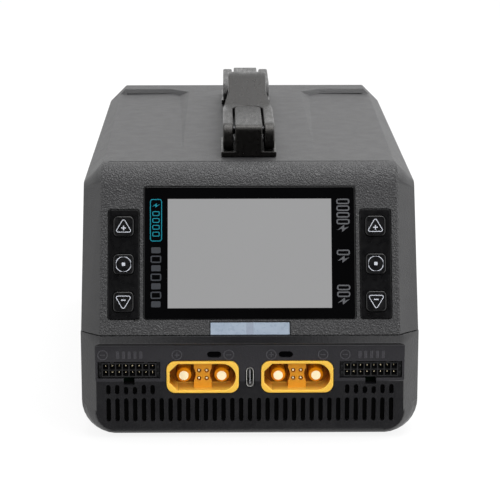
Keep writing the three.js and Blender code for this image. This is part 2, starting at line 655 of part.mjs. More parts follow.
function signalPinPlaces(x) {
  const places = [];
  for (const [, column] of SIDES) {
    for (const row of [-1, 1]) {
      places.push([x + column * SIGNAL_PIN.column, OUTPUT.z + row * SIGNAL_PIN.row]);
    }
  }
  return places;
}

const CARRIER_BACK = OUTPUT.back + GAP;

function signalPins(x) {
  const plate = rectangle(x, OUTPUT.z, CARRIER.width, CARRIER.height);
  const carrier = prism(plate, -CARRIER_BACK - CARRIER.thickness, -CARRIER_BACK);
  const pin = ([px, pz]) =>
    prism(disc(px, pz, SIGNAL_PIN.radius, 8), -CARRIER_BACK - 1, -SIGNAL_PIN.tip);
  return join([carrier, ...signalPinPlaces(x).map(pin)]);
}

// A turned contact: a round pin with a chamfered tip.
function powerPin(x) {
  const tip = OUTPUT.proud - POWER_PIN.setBack;
  const length = tip + CARRIER_BACK + CARRIER.thickness;
  const profile = [
    [0, 0],
    [POWER_PIN.radius, 0],
    [POWER_PIN.radius, length - POWER_PIN.tipLength],
    [POWER_PIN.tipRadius, length],
    [0, length],
  ].map(([r, h]) => new THREE.Vector2(r, h));
  const geometry = new THREE.LatheGeometry(profile, 16);
  geometry.rotateX(Math.PI / 2);
  geometry.translate(x, OUTPUT.z, tip - length);
  return solid(geometry);
}

function headerCells(x, visit) {
  const cells = [];
  for (let column = 0; column < HEADER.columns; column++) {
    for (let row = 0; row < HEADER.rows; row++) {
      const cellX = x + (column - (HEADER.columns - 1) / 2) * HEADER.pitch;
      const cellZ = HEADER.z + (row - (HEADER.rows - 1) / 2) * HEADER.pitch;
      cells.push(visit(cellX, cellZ));
    }
  }
  return cells;
}

function balanceHeader(x) {
  const { width, height, back, flangeDrop } = HEADER_BODY;
  const body = prism(rectangle(x, HEADER.z, width, height), -back, -GAP);
  const flange = prism(rectangle(x, HEADER.z, HEADER.width, HEADER.height), -back, -flangeDrop);
  const cell = (cx, cz) => rectangle(cx, cz, HEADER_CELL.width, HEADER_CELL.height);
  const cells = headerCells(x, (cx, cz) => prism(cell(cx, cz), -back - 1, THROUGH));
  return cut(body.add(flange), cells);
}

function balancePins(x) {
  const back = -HEADER_BODY.back - GAP;
  const { pin, pinTip } = HEADER_CELL;
  const plate = rectangle(x, HEADER.z, HEADER_BODY.width - 0.5, HEADER_BODY.height - 0.4);
  const carrier = prism(plate, back - CARRIER.thickness, back);
  const pins = headerCells(x, (cx, cz) => prism(rectangle(cx, cz, pin, pin), back - 1, -pinTip));
  return join([carrier, ...pins]);
}

for (const [side, sign] of SIDES) {
  const x = sign * OUTPUT.x;
  addMesh(`${side}_output_connector`, outputConnector(x), YELLOW, panel);
  addMesh(`${side}_signal_pins`, signalPins(x), GOLD, panel);
  addMesh(`${side}_negative_pin`, powerPin(x - sign * POWER_PIN.spread), GOLD, panel);
  addMesh(`${side}_positive_pin`, powerPin(x + sign * POWER_PIN.spread), GOLD, panel);
  addMesh(`${side}_balance_header`, balanceHeader(sign * HEADER.x), BLACK, panel);
  addMesh(`${side}_balance_pins`, balancePins(sign * HEADER.x), GOLD, panel);
}

function usbShell() {
  const outer = rectangle(0, USB.z, USB.width, USB.height, USB.width / 2 - 0.05, 4);
  const inside = USB.width - 2 * USB.wall;
  const inner = rectangle(0, USB.z, inside, USB.height - 2 * USB.wall, inside / 2 - 0.05, 4);
  return prism(outer, -USB.depth, -0.1).subtract(prism(inner, -USB.depth - 1, 1));
}

addMesh("usb_shell", usbShell(), STEEL, panel);
const usbTongue = rectangle(0, USB.z, USB_TONGUE.thickness, USB_TONGUE.height);
addMesh("usb_tongue", prism(usbTongue, -USB.depth - 0.8, -USB_TONGUE.setBack), BLACK, panel);

// ---------------------------------------------------------------- electronics

const BOARD_THICKNESS = 1.6;
const OUTPUT_BOARD = { z: 29, width: 128, height: 26 };
const POWER_BOARD = { halfWidth: 50, front: -96, rear: 76 };
const OUTPUT_BOARD_Y = PANEL_Y + CARRIER_BACK + CARRIER.thickness + GAP + 0.1;
const POWER_BOARD_TOP = POWER_BOARD_Z + BOARD_THICKNESS;
const ON_BOARD_Z = POWER_BOARD_TOP + GAP;
const HEATSINK = { x: 33, front: -70, rear: 20, fins: 6, pitch: 5, fin: 2.5, height: 36, base: 5 };
const CORE = { halfWidth: 16, front: -62, rear: -24, height: 30 };
const COIL = { halfWidth: 18, length: 30, height: 25, corner: 6 };
const CAPACITOR = { radius: 9.5, height: 40, firstY: -8, pitch: 24 };

const outputBoard = rectangle(0, OUTPUT_BOARD.z, OUTPUT_BOARD.width, OUTPUT_BOARD.height);
addMesh("output_board", prismY(outputBoard, OUTPUT_BOARD_Y, OUTPUT_BOARD_Y + BOARD_THICKNESS), BOARD);

function powerBoard() {
  const { halfWidth, front, rear } = POWER_BOARD;
  return box(-halfWidth, halfWidth, front, rear, POWER_BOARD_Z, POWER_BOARD_TOP);
}

addMesh("power_board", powerBoard(), BOARD);

function heatsink(side) {
  const { x, front, rear, fins, pitch, fin, height, base } = HEATSINK;
  const top = ON_BOARD_Z + height;
  const width = fins * pitch - (pitch - fin);
  const points = [[0, ON_BOARD_Z]];
  points.push([width, ON_BOARD_Z]);
  for (let i = fins - 1; i >= 0; i--) {
    points.push([i * pitch + fin, top], [i * pitch, top]);
    if (i > 0) points.push([i * pitch, ON_BOARD_Z + base], [(i - 1) * pitch + fin, ON_BOARD_Z + base]);
  }
  const placed = points.map(([across, z]) => [side * x - width / 2 + across, z]);
  return prismY(outline(placed), front, rear);
}

for (const [side, sign] of SIDES) {
  addMesh(`${side}_heatsink`, heatsink(sign), ALUMINIUM);
}

function transformer() {
  const { halfWidth, front, rear, height } = CORE;
  const core = box(-halfWidth, halfWidth, front, rear, ON_BOARD_Z, ON_BOARD_Z + height);
  const [coilY, coilZ] = [(front + rear) / 2, ON_BOARD_Z + height / 2];
  const coil = rectangle(coilY, coilZ, COIL.length, COIL.height, COIL.corner, 3);
  return core.add(prismX(coil, -COIL.halfWidth, COIL.halfWidth));
}

addMesh("transformer", transformer(), WINDING);

["front", "rear"].forEach((place, i) => {
  const can = disc(0, CAPACITOR.firstY + i * CAPACITOR.pitch, CAPACITOR.radius, 18);
  addMesh(`${place}_bulk_capacitor`, prism(can, ON_BOARD_Z, ON_BOARD_Z + CAPACITOR.height), BLACK);
});

// ---------------------------------------------------------------- rear panel

const throughRear = (shape) => prismY(shape, REAR_PANEL.front - THROUGH, REAR_Y + THROUGH);

function fanGrille(x) {
  const { pitch, slot: slotHeight, barsEachSide, longer } = GRILLE;
  const openings = [];
  for (let i = -barsEachSide; i <= barsEachSide; i++) {
    const chord = 2 * Math.sqrt(FAN.tip ** 2 - (i * pitch) ** 2) + longer;
    const shape = rectangle(x, FAN.z + i * pitch, chord, slotHeight, slotHeight / 2 - 0.1, 2);
    openings.push(throughRear(shape));
  }
  return openings;
}

function rearPanel() {
  const plate = hollow(GAP).intersect(box(-FAR, FAR, REAR_PANEL.front, PANEL_BACK_Y, -FAR, FAR));
  return cut(plate, [
    ...fanGrille(-FAN.x),
    ...fanGrille(FAN.x),
    throughRear(rectangle(INLET.x, INLET.z, INLET.width + 2 * GAP, INLET.height + 2 * GAP)),
    throughRear(rectangle(SWITCH.x, SWITCH.z, SWITCH.width + 2 * GAP, SWITCH.height + 2 * GAP)),
  ]);
}

addMesh("rear_panel", rearPanel(), CASE_BASE);

const SHAFT_RADIUS = 1.5;
const BEARING_RADIUS = 1.62;

function fanFrame(x) {
  const rear = FAN_FRONT_Y + FAN.depth;
  const ring = prismY(rectangle(x, FAN.z, FAN.size, FAN.size, 4, 2), FAN_FRONT_Y, rear);
  const bore = prismY(disc(x, FAN.z, FAN.bore, 28), FAN_FRONT_Y - 1, rear + 1);
  const { depth, strutWidth, strutDepth } = FAN_CUP;
  const cup = prismY(disc(x, FAN.z, FAN.hub, 16), FAN_FRONT_Y, FAN_FRONT_Y + depth);
  const strutRear = FAN_FRONT_Y + strutDepth;
  const strut = (width, height) => prismY(rectangle(x, FAN.z, width, height), FAN_FRONT_Y, strutRear);
  const strutAcross = strut(2 * FAN.bore + 1, strutWidth);
  const strutUp = strut(strutWidth, 2 * FAN.bore + 1);
  const bearing = prismY(disc(x, FAN.z, BEARING_RADIUS, 12), FAN_FRONT_Y - 1, rear);
  return join([ring.subtract(bore), cup, strutAcross, strutUp]).subtract(bearing);
}

function fanRotor(x) {
  const front = FAN_FRONT_Y + ROTOR.setBack;
  const hub = prismY(disc(x, FAN.z, FAN.hub, 20), front, front + ROTOR.depth);
  const shaft = prismY(disc(x, FAN.z, SHAFT_RADIUS, 12), FAN_FRONT_Y + 0.4, front + 1);
  const blades = [];
  for (let i = 0; i < FAN.blades; i++) {
    const reach = FAN.tip - FAN.hub + 2;
    const geometry = new THREE.BoxGeometry(BLADE.thickness, BLADE.width, reach);
    geometry.rotateZ(BLADE.pitch);
    geometry.translate(0, 0, FAN.hub - 2 + reach / 2);
    geometry.rotateY((2 * Math.PI * i) / FAN.blades);
    geometry.translate(x, front + BLADE.middle, FAN.z);
    blades.push(solid(geometry));
  }
  return join([hub, shaft, ...blades]);
}

for (const [side, sign] of SIDES) {
  addMesh(`${side}_fan_frame`, fanFrame(sign * FAN.x), BLACK);
  addMesh(`${side}_fan_rotor`, fanRotor(sign * FAN.x), BLACK);
}

const FLANGE_Y = [PANEL_BACK_Y + GAP, PANEL_BACK_Y + GAP + 1.9];
const INLET_BACK_Y = REAR_PANEL.front - 20;

function acInlet() {
  const { x, z, width, height } = INLET;
  const { narrower, lower, corner, floor } = INLET_CAVITY;
  const flangeOutline = rectangle(x, z, width + INLET_FLANGE.wider, height + INLET_FLANGE.taller, 2, 2);
  const flange = prismY(flangeOutline, ...FLANGE_Y);
  const body = prismY(rectangle(x, z, width, height), INLET_BACK_Y, FLANGE_Y[0] + 0.5);
  const mouth = rectangle(x, z, width - narrower, height - lower, corner, 2);
  const cavity = prismY(mouth, INLET_BACK_Y + floor, REAR_Y);
  const [slotWidth, slotHeight] = [INLET_PIN.width, INLET_PIN.height].map((n) => n + INLET_PIN.clearance);
  const pinSlot = ([px, pz]) =>
    prismY(rectangle(px, pz, slotWidth, slotHeight), INLET_BACK_Y - THROUGH, REAR_Y);
  return cut(flange.add(body), [cavity, ...inletPinPlaces().map(pinSlot)]);
}

function inletPinPlaces() {
  return [
    [INLET.x - INLET_PIN.across, INLET.z],
    [INLET.x, INLET.z + INLET_PIN.raised],
    [INLET.x + INLET_PIN.across, INLET.z],
  ];
}

function inletPins() {
  const front = INLET_BACK_Y - GAP;
  const { width, height, setBack } = INLET_PIN;
  const carrier = prismY(rectangle(INLET.x, INLET.z, 24, 12), front - 1.5, front);
  const blade = (x, z) => prismY(rectangle(x, z, width, height), front - 0.2, PANEL_BACK_Y - setBack);
  const pins = inletPinPlaces().map(([x, z]) => blade(x, z));
  return join([carrier, ...pins]);
}

addMesh("ac_inlet", acInlet(), BLACK);
addMesh("inlet_pins", inletPins(), STEEL);

const ROCKER = { halfWidth: 9.4, reach: 12.4, dip: 4, pivotReach: 10.1 };
const SWITCH_WELL = { depth: 12, body: 16, gap: 0.8, rim: 4 };

function switchHousing() {
  const { x, z, width, height, pivotY } = SWITCH;
  const { depth, body: bodyDepth, gap, rim } = SWITCH_WELL;
  const flange = prismY(rectangle(x, z, width + rim, height + rim, 1.5, 2), ...FLANGE_Y);
  const body = prismY(rectangle(x, z, width, height), pivotY - bodyDepth, FLANGE_Y[0] + 0.5);
  const opening = rectangle(x, z, 2 * ROCKER.halfWidth + gap, 2 * ROCKER.reach + gap);
  const well = prismY(opening, pivotY - depth, REAR_Y);
  const bearing = ROCKER.pivotReach + GAP;
  const pivot = prismX(disc(pivotY, z, BEARING_RADIUS, 12), x - bearing, x + bearing);
  return cut(flange.add(body), [well, pivot]);
}

// The rocker's side view: two arcs about the pivot joined by a shallow V, tipped to "off".
function rocker() {
  const { x, z, pivotY, tilt } = SWITCH;
  const { reach, halfWidth, dip, pivotReach } = ROCKER;
  const along = (angle) => new THREE.Vector2(Math.sin(angle) * reach, Math.cos(angle) * reach);
  const points = [];
  for (const angle of [-14, 0, 14, 28]) points.push(along(rad(angle)));
  points.push(new THREE.Vector2(dip, 0));
  for (const angle of [152, 166, 180, 194]) points.push(along(rad(angle)));
  const placed = points.map((p) => p.rotateAround(new THREE.Vector2(), -tilt));
  const profile = new THREE.Shape(placed.map((p) => new THREE.Vector2(p.x + pivotY, p.y + z)));
  const paddle = prismX(profile, x - halfWidth, x + halfWidth);
  const pivot = prismX(disc(pivotY, z, SHAFT_RADIUS, 12), x - pivotReach, x + pivotReach);
  return paddle.add(pivot);
}

addMesh("power_switch_housing", switchHousing(), BLACK);
addMesh("power_switch_rocker", rocker(), BLACK);

// ---------------------------------------------------------------- handle

const PLATE_TOP = TOP_Z + GAP + HANDLE_PLATE.thickness;
const FORK_TOP = TOP_Z + FORK.rise;
const fromMid = (end, distance) => HANDLE_MID_Y + end * distance;

// The concave inside of a leg, from the plate up to the strap's underside, as points in (y, z).
function legInside(end, near, bottom) {
  const points = [];
  const start = new THREE.Vector2(fromMid(end, HANDLE_PLATE.near), bottom);
  const bend = new THREE.Vector2(fromMid(end, near + LEG_BEND.y), bottom + LEG_BEND.z);
  const finishPoint = new THREE.Vector2(fromMid(end, near), FORK_TOP - STRAP.thickness);
  const curve = new THREE.QuadraticBezierCurve(start, bend, finishPoint);
  for (const point of curve.getPoints(4)) points.push([point.x, point.y]);
  return points;
}

// A strip along Y from a round end at `near` outwards past the end of the handle, in plan.
function roundEnded(end, near, halfWidth) {
  const outer = fromMid(end, HANDLE_PLATE.far + 5);
  const inner = fromMid(end, near);
  const radius = halfWidth - 0.05;
  const corners = [
    [-halfWidth, outer],
    [-halfWidth, inner, radius],
    [halfWidth, inner, radius],
    [halfWidth, outer],
  ];
  return outline(corners, 6);
}

function handleMount(end) {
  const plateMiddle = fromMid(end, (HANDLE_PLATE.near + HANDLE_PLATE.far) / 2);
  const plateShape = rectangle(0, plateMiddle, HANDLE_PLATE.width, HANDLE_PLATE.far - HANDLE_PLATE.near);
  const plate = prism(plateShape, TOP_Z + GAP, PLATE_TOP);
  const side = outline([
    [fromMid(end, HANDLE_PLATE.far), PLATE_TOP - 0.5],
    [fromMid(end, HANDLE_PLATE.far), FORK_TOP, TONGUE.topRadius],
    [fromMid(end, TONGUE.near), FORK_TOP],
    [fromMid(end, TONGUE.near), FORK_TOP - STRAP.thickness],
    ...legInside(end, TONGUE.near + 1, PLATE_TOP - 0.5).reverse(),
  ]);
  const plan = roundEnded(end, TONGUE.near, TONGUE.halfWidth);
  const tongue = prismX(side, -HANDLE_SPAN, HANDLE_SPAN).intersect(prism(plan, TOP_Z, TOP_Z + HANDLE_SPAN));
  const pinY = fromMid(end, HANDLE_PIN.from);
  const pinHole = prismX(disc(pinY, HANDLE_PIN.z, HANDLE_PIN.radius + GAP, 12), -HANDLE_SPAN, HANDLE_SPAN);
  return plate.add(tongue).subtract(pinHole);
}

function handlePin(end) {
  const reach = FORK.halfWidth - 0.6;
  return prismX(disc(fromMid(end, HANDLE_PIN.from), HANDLE_PIN.z, HANDLE_PIN.radius, 12), -reach, reach);
}

function gripSideProfile() {
  const bottom = PLATE_TOP + GAP;
  const crest = TOP_Z + STRAP.crest;
  const lean = (crest - FORK_TOP) / STRAP.crease;
  const sag = STRAP.thickness * Math.sqrt(1 + lean * lean);
  const half = (end) => [
    [fromMid(end, STRAP.crease - 3), FORK_TOP - STRAP.thickness],
    ...legInside(end, STRAP.crease, bottom).reverse(),
    [fromMid(end, FORK.far), bottom, FORK.lowRadius],
    [fromMid(end, FORK.far), FORK_TOP, FORK.topRadius],
    [fromMid(end, STRAP.crease), FORK_TOP, STRAP.creaseRadius],
  ];
  return outline([
    ...half(-1),
    [HANDLE_MID_Y, crest, STRAP.crestRadius],
    ...half(1).reverse(),
    [HANDLE_MID_Y, crest - sag, STRAP.crestRadius - 4],
  ]);
}

function gripPlan() {
  const { halfWidth, far } = FORK;
  const { waist, crease } = STRAP;
  const half = (side, end) => [
    [side * halfWidth, fromMid(end, far)],
    [side * halfWidth, fromMid(end, crease + 4)],
    [side * waist, fromMid(end, crease - 14)],
  ];
  const right = [...half(1, -1), ...half(1, 1).reverse()];
  const left = [...half(-1, 1), ...half(-1, -1).reverse()];
  return outline([...right, ...left]);
}

function handleGrip() {
  const side = prismX(gripSideProfile(), -HANDLE_SPAN, HANDLE_SPAN);
  const body = side.intersect(prism(gripPlan(), TOP_Z, TOP_Z + HANDLE_SPAN));
  const tools = [];
  for (const end of [-1, 1]) {
    const gap = roundEnded(end, TONGUE.near - TONGUE.clearance, TONGUE.halfWidth + TONGUE.clearance);
    tools.push(prism(gap, TOP_Z, TOP_Z + HANDLE_SPAN));
    const radius = HANDLE_PIN.radius + GAP;
    const slotMiddle = HANDLE_PIN.z - HANDLE_LIFT / 2;
    const pinY = fromMid(end, HANDLE_PIN.from);
    const slotShape = rectangle(pinY, slotMiddle, 2 * radius, HANDLE_LIFT + 2 * radius, radius - 0.02, 4);
    tools.push(prismX(slotShape, -HANDLE_SPAN, HANDLE_SPAN));
  }
  return cut(body, tools);
}

for (const [place, end] of [
  ["front", -1],
  ["rear", 1],
]) {
  addMesh(`${place}_handle_mount`, handleMount(end), BLACK);
  addMesh(`${place}_handle_pin`, handlePin(end), STEEL);
}
addMesh("handle_grip", handleGrip(), BLACK);

export default charger;
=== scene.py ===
"""The looks of the balance charger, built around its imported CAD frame.

Outlines are drawn in millimetres in a local frame of the surface they belong to, and every place
comes from the CAD nodes. Blender objects are in metres.
"""

import json
import math

import bmesh
import bpy
from mathutils import Matrix, Vector


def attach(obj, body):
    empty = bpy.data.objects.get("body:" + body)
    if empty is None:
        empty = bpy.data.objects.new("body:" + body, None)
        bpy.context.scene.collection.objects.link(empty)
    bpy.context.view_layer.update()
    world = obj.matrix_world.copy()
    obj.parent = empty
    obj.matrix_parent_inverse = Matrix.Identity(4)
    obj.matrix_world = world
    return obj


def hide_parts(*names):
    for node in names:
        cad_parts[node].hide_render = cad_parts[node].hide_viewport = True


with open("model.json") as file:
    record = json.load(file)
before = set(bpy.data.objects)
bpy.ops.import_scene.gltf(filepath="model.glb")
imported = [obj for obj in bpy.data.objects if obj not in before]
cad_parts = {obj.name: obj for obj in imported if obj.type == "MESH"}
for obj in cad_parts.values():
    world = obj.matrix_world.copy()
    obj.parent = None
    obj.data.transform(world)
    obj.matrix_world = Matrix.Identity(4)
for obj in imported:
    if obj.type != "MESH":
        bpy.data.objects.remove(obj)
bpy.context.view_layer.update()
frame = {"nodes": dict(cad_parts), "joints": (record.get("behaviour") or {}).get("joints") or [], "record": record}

MM = 0.001
NODES = frame["nodes"]
RECORD = frame["record"]
SLOT_OF = {row["node"]: row["material_slot"] for row in RECORD["subparts"]}
BODY_OF = {n: body for body, ns in RECORD["behaviour"]["bodies"].items() for n in ns}
SIDES = ("left", "right")
KEYS = ("up", "select", "down")
CORNERS = ("front_left", "front_right", "rear_left", "rear_right")

# ---- local frames

press_axis = next(j["axis"] for j in frame["joints"] if j["name"] == "left_up_press")
FACE_LEAN = math.atan2(-press_axis[2], press_axis[1])

TOP = Matrix.Identity(4)
FACE = Matrix.Rotation(math.pi / 2 - FACE_LEAN, 4, "X")  # x across, y up the slope, z out of it
PANEL = Matrix.Rotation(math.pi / 2, 4, "X")  # x across, y up, z forwards
REAR = Matrix(((-1, 0, 0, 0), (0, 0, 1, 0), (0, 1, 0, 0), (0, 0, 0, 1)))  # seen from behind


def local_box(node, place):
    """The lowest and highest corners and the middle of a CAD node in a local frame, in millimetres."""
    inverse = place.inverted()
    points = [inverse @ v.co for v in NODES[node].data.vertices]
    low = Vector([min(p[i] for p in points) for i in range(3)]) / MM
    high = Vector([max(p[i] for p in points) for i in range(3)]) / MM
    return low, high, (low + high) / 2


def middle(node, place):
    return local_box(node, place)[2]


def joint_place(name):
    """A joint's position in millimetres."""
    return Vector(next(j["pos_m"] for j in frame["joints"] if j["name"] == name)) / MM


# ---- outlines


def outline(corners, steps):
    """A closed outline through corners (x, y, radius), with the corners rounded."""
    points = []
    count = len(corners)
    for i, (x, y, radius) in enumerate(corners):
        corner = Vector((x, y))
        if radius <= 0:
            points.append(corner)
            continue
        back = (Vector(corners[i - 1][:2]) - corner).normalized()
        ahead = (Vector(corners[(i + 1) % count][:2]) - corner).normalized()
        half = math.acos(max(-1, min(1, back.dot(ahead)))) / 2
        centre = corner + (back + ahead).normalized() * radius / math.sin(half)
        reach = radius / math.tan(half)
        start = corner + back * reach - centre
        end = corner + ahead * reach - centre
        turn = math.atan2(start.x * end.y - start.y * end.x, start.dot(end))
        for k in range(steps + 1):
            angle = turn * k / steps
            points.append(centre + Matrix.Rotation(angle, 2) @ start)
    return points


def rectangle(x, y, width, height, radius=0.0, steps=6):
    w, h = width / 2, height / 2
    corners = [(-w, -h), (w, -h), (w, h), (-w, h)]
    return outline([(x + a, y + b, radius) for a, b in corners], steps)


def ring_points(x, y, radius, sides=40):
    angles = [2 * math.pi * k / sides for k in range(sides)]
    return [Vector((x + radius * math.cos(a), y + radius * math.sin(a))) for a in angles]


def anticlockwise(points):
    area = sum(a.x * b.y - b.x * a.y for a, b in zip(points, points[1:] + points[:1]))
    return points if area > 0 else points[::-1]


def inset(points, distance):
    """An anticlockwise outline moved inwards by a distance."""
    moved = []
    count = len(points)
    for i, point in enumerate(points):
        before = (point - points[i - 1]).normalized()
        after = (points[(i + 1) % count] - point).normalized()
        n1 = Vector((-before.y, before.x))
        n2 = Vector((-after.y, after.x))
        moved.append(point + (n1 + n2) * distance / (1 + n1.dot(n2)))
    return moved


# ---- mesh building


def add_plate(bm, outer, low, high, holes=(), edge=0.3, steps=3):
    """A plate from low to high along z, with its front edges and hole edges rounded."""
    rims = []
    bases = []
    for points, side in [(outer, 1)] + [(hole, -1) for hole in holes]:
        points = anticlockwise(list(points))
        rings = []
        for k in range(steps + 1):
            angle = math.pi / 2 * k / steps
            shift = edge * (1 - math.sin(angle))
            drop = edge * (1 - math.cos(angle))
            ring = inset(points, side * shift)
            rings.append([bm.verts.new((p.x, p.y, high - drop)) for p in ring])
            if edge == 0:
                break
        rings.append([bm.verts.new((p.x, p.y, low)) for p in points])
        for upper, lower in zip(rings, rings[1:]):
            for i in range(len(upper)):
                bm.faces.new((upper[i - 1], upper[i], lower[i], lower[i - 1]))
        rims += [bm.edges.get((rings[0][i - 1], rings[0][i])) for i in range(len(points))]
        bases += [bm.edges.get((rings[-1][i - 1], rings[-1][i])) for i in range(len(points))]
    for edges in (rims, bases):
        bmesh.ops.triangle_fill(bm, use_beauty=True, use_dissolve=False, edges=edges)


def add_lathe(bm, profile, x, y, sides):
    """A closed turned form about a line along z through (x, y); the profile is (radius, z)."""
    rings = []
    for radius, z in profile:
        if radius <= 0:
            rings.append([bm.verts.new((x, y, z))])
            continue
        ring = [bm.verts.new((p.x, p.y, z)) for p in ring_points(x, y, radius, sides)]
        rings.append(ring)
    for a, b in zip(rings, rings[1:]):
        for i in range(sides):
            quad = [a[i - 1], a[i], b[i], b[i - 1]] if len(a) > 1 and len(b) > 1 else None
            if quad is None:
                quad = [a[0], b[i], b[i - 1]] if len(a) == 1 else [a[i - 1], a[i], b[0]]
            bm.faces.new(quad)


def plate_piece(name, place, look, node, outer, low, high, holes=(), edge=0.3, steps=3, stands=True):
    """A piece that is a single plate."""
    bm = bmesh.new()
    add_plate(bm, outer, low, high, holes, edge, steps)
    return piece(name, bm, place, look, node, stands)


def turned_piece(name, place, look, node, profile, x, y, sides, stands=True):
    """A piece that is a single turned form."""
    bm = bmesh.new()
    add_lathe(bm, profile, x, y, sides)
    return piece(name, bm, place, look, node, stands)


def box_outline(low, high, radius, steps=6):
    """A rectangle that fills a box seen along z."""
    at = (low + high) / 2
    return rectangle(at.x, at.y, high.x - low.x, high.y - low.y, radius, steps)


SHARP = math.radians(50)  # an edge that turns by more than this isn't shaded smooth


def piece(name, bm, place, look, node, stands=True):
    """Turns a local mesh into an object that rides with a CAD node's body."""
    bmesh.ops.remove_doubles(bm, verts=bm.verts, dist=1e-4)
    bmesh.ops.recalc_face_normals(bm, faces=bm.faces)
    bm.transform(place @ Matrix.Scale(MM, 4))
    return place_mesh(name, bm, look, node, stands)


def place_mesh(name, bm, look, node, stands=True):
    for face in bm.faces:
        face.smooth = True
    for edge in bm.edges:
        edge.smooth = len(edge.link_faces) == 2 and edge.calc_face_angle(0) < SHARP
    mesh = bpy.data.meshes.new(name)
    bm.to_mesh(mesh)
    bm.free()
    mesh.materials.append(look)
    obj = bpy.data.objects.new(name, mesh)
    bpy.context.scene.collection.objects.link(obj)
    normals = obj.modifiers.new("face_weighted_normals", "WEIGHTED_NORMAL")
    normals.keep_sharp = True
    if stands:
        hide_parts(node)
    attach(obj, BODY_OF[node])
    return obj


STEEP = 60  # degrees that an edge turns by, from which it is rounded however short it is


def softened(name, node, width, segments=2, angle=38, short=1.2, least=0, prepare=None, spare=None):
    """A copy of a CAD node with its crisp edges rounded by a width.

    An edge is rounded if it turns by more than `angle` degrees and is longer than `short`, or turns
    steeply, and is longer than `least`. Those that `spare` picks out stay crisp.
    """
    bm = bmesh.new()
    bm.from_mesh(NODES[node].data)
    bmesh.ops.remove_doubles(bm, verts=bm.verts, dist=5e-6)
    bmesh.ops.dissolve_limit(bm, angle_limit=math.radians(1), verts=bm.verts, edges=bm.edges)
    if prepare:
        prepare(bm)
    crisp = []
    for edge in bm.edges:
        if len(edge.link_faces) != 2 or (spare and spare(edge)):
            continue
        turn = math.degrees(edge.calc_face_angle(0))
        length = edge.calc_length() / MM
        if length > least and (turn > STEEP or (turn > angle and length > short)):
            crisp.append(edge)
    bmesh.ops.bevel(
        bm,
        geom=crisp,
        offset=width * MM,
        offset_type="OFFSET",
        segments=segments,
        profile=0.5,
        affect="EDGES",
        clamp_overlap=False,
        loop_slide=True,
    )
    return place_mesh(name, bm, look_of(node), node)


# ---- materials


class Tree:
    """The nodes of a material or of the world."""

    def __init__(self, owner):
        owner.use_nodes = True
        self.nodes = owner.node_tree.nodes
        self.links = owner.node_tree.links

    def feed(self, socket, value):
        """Links an output to an input, or gives the input a plain value."""
        if isinstance(value, bpy.types.NodeSocket):
            self.links.new(value, socket)
        else:
            socket.default_value = value

    def add(self, kind, inputs=None, **settings):
        """A new node with its settings made and its inputs fed."""
        node = self.nodes.new("ShaderNode" + kind)
        for name, value in settings.items():
            setattr(node, name, value)
        for name, value in (inputs or {}).items():
            self.feed(node.inputs[name], value)
        return node

    def product(self, first, second):
        return self.add("Math", {0: first, 1: second}, operation="MULTIPLY").outputs["Value"]

    def spread(self, value, low, high, start=0.3, end=0.7, kind="LINEAR"):
        """A value mapped so that `start` gives `low` and `end` gives `high`."""
        inputs = {"Value": value, "From Min": start, "From Max": end, "To Min": low, "To Max": high}
        return self.add("MapRange", inputs, interpolation_type=kind).outputs["Result"]


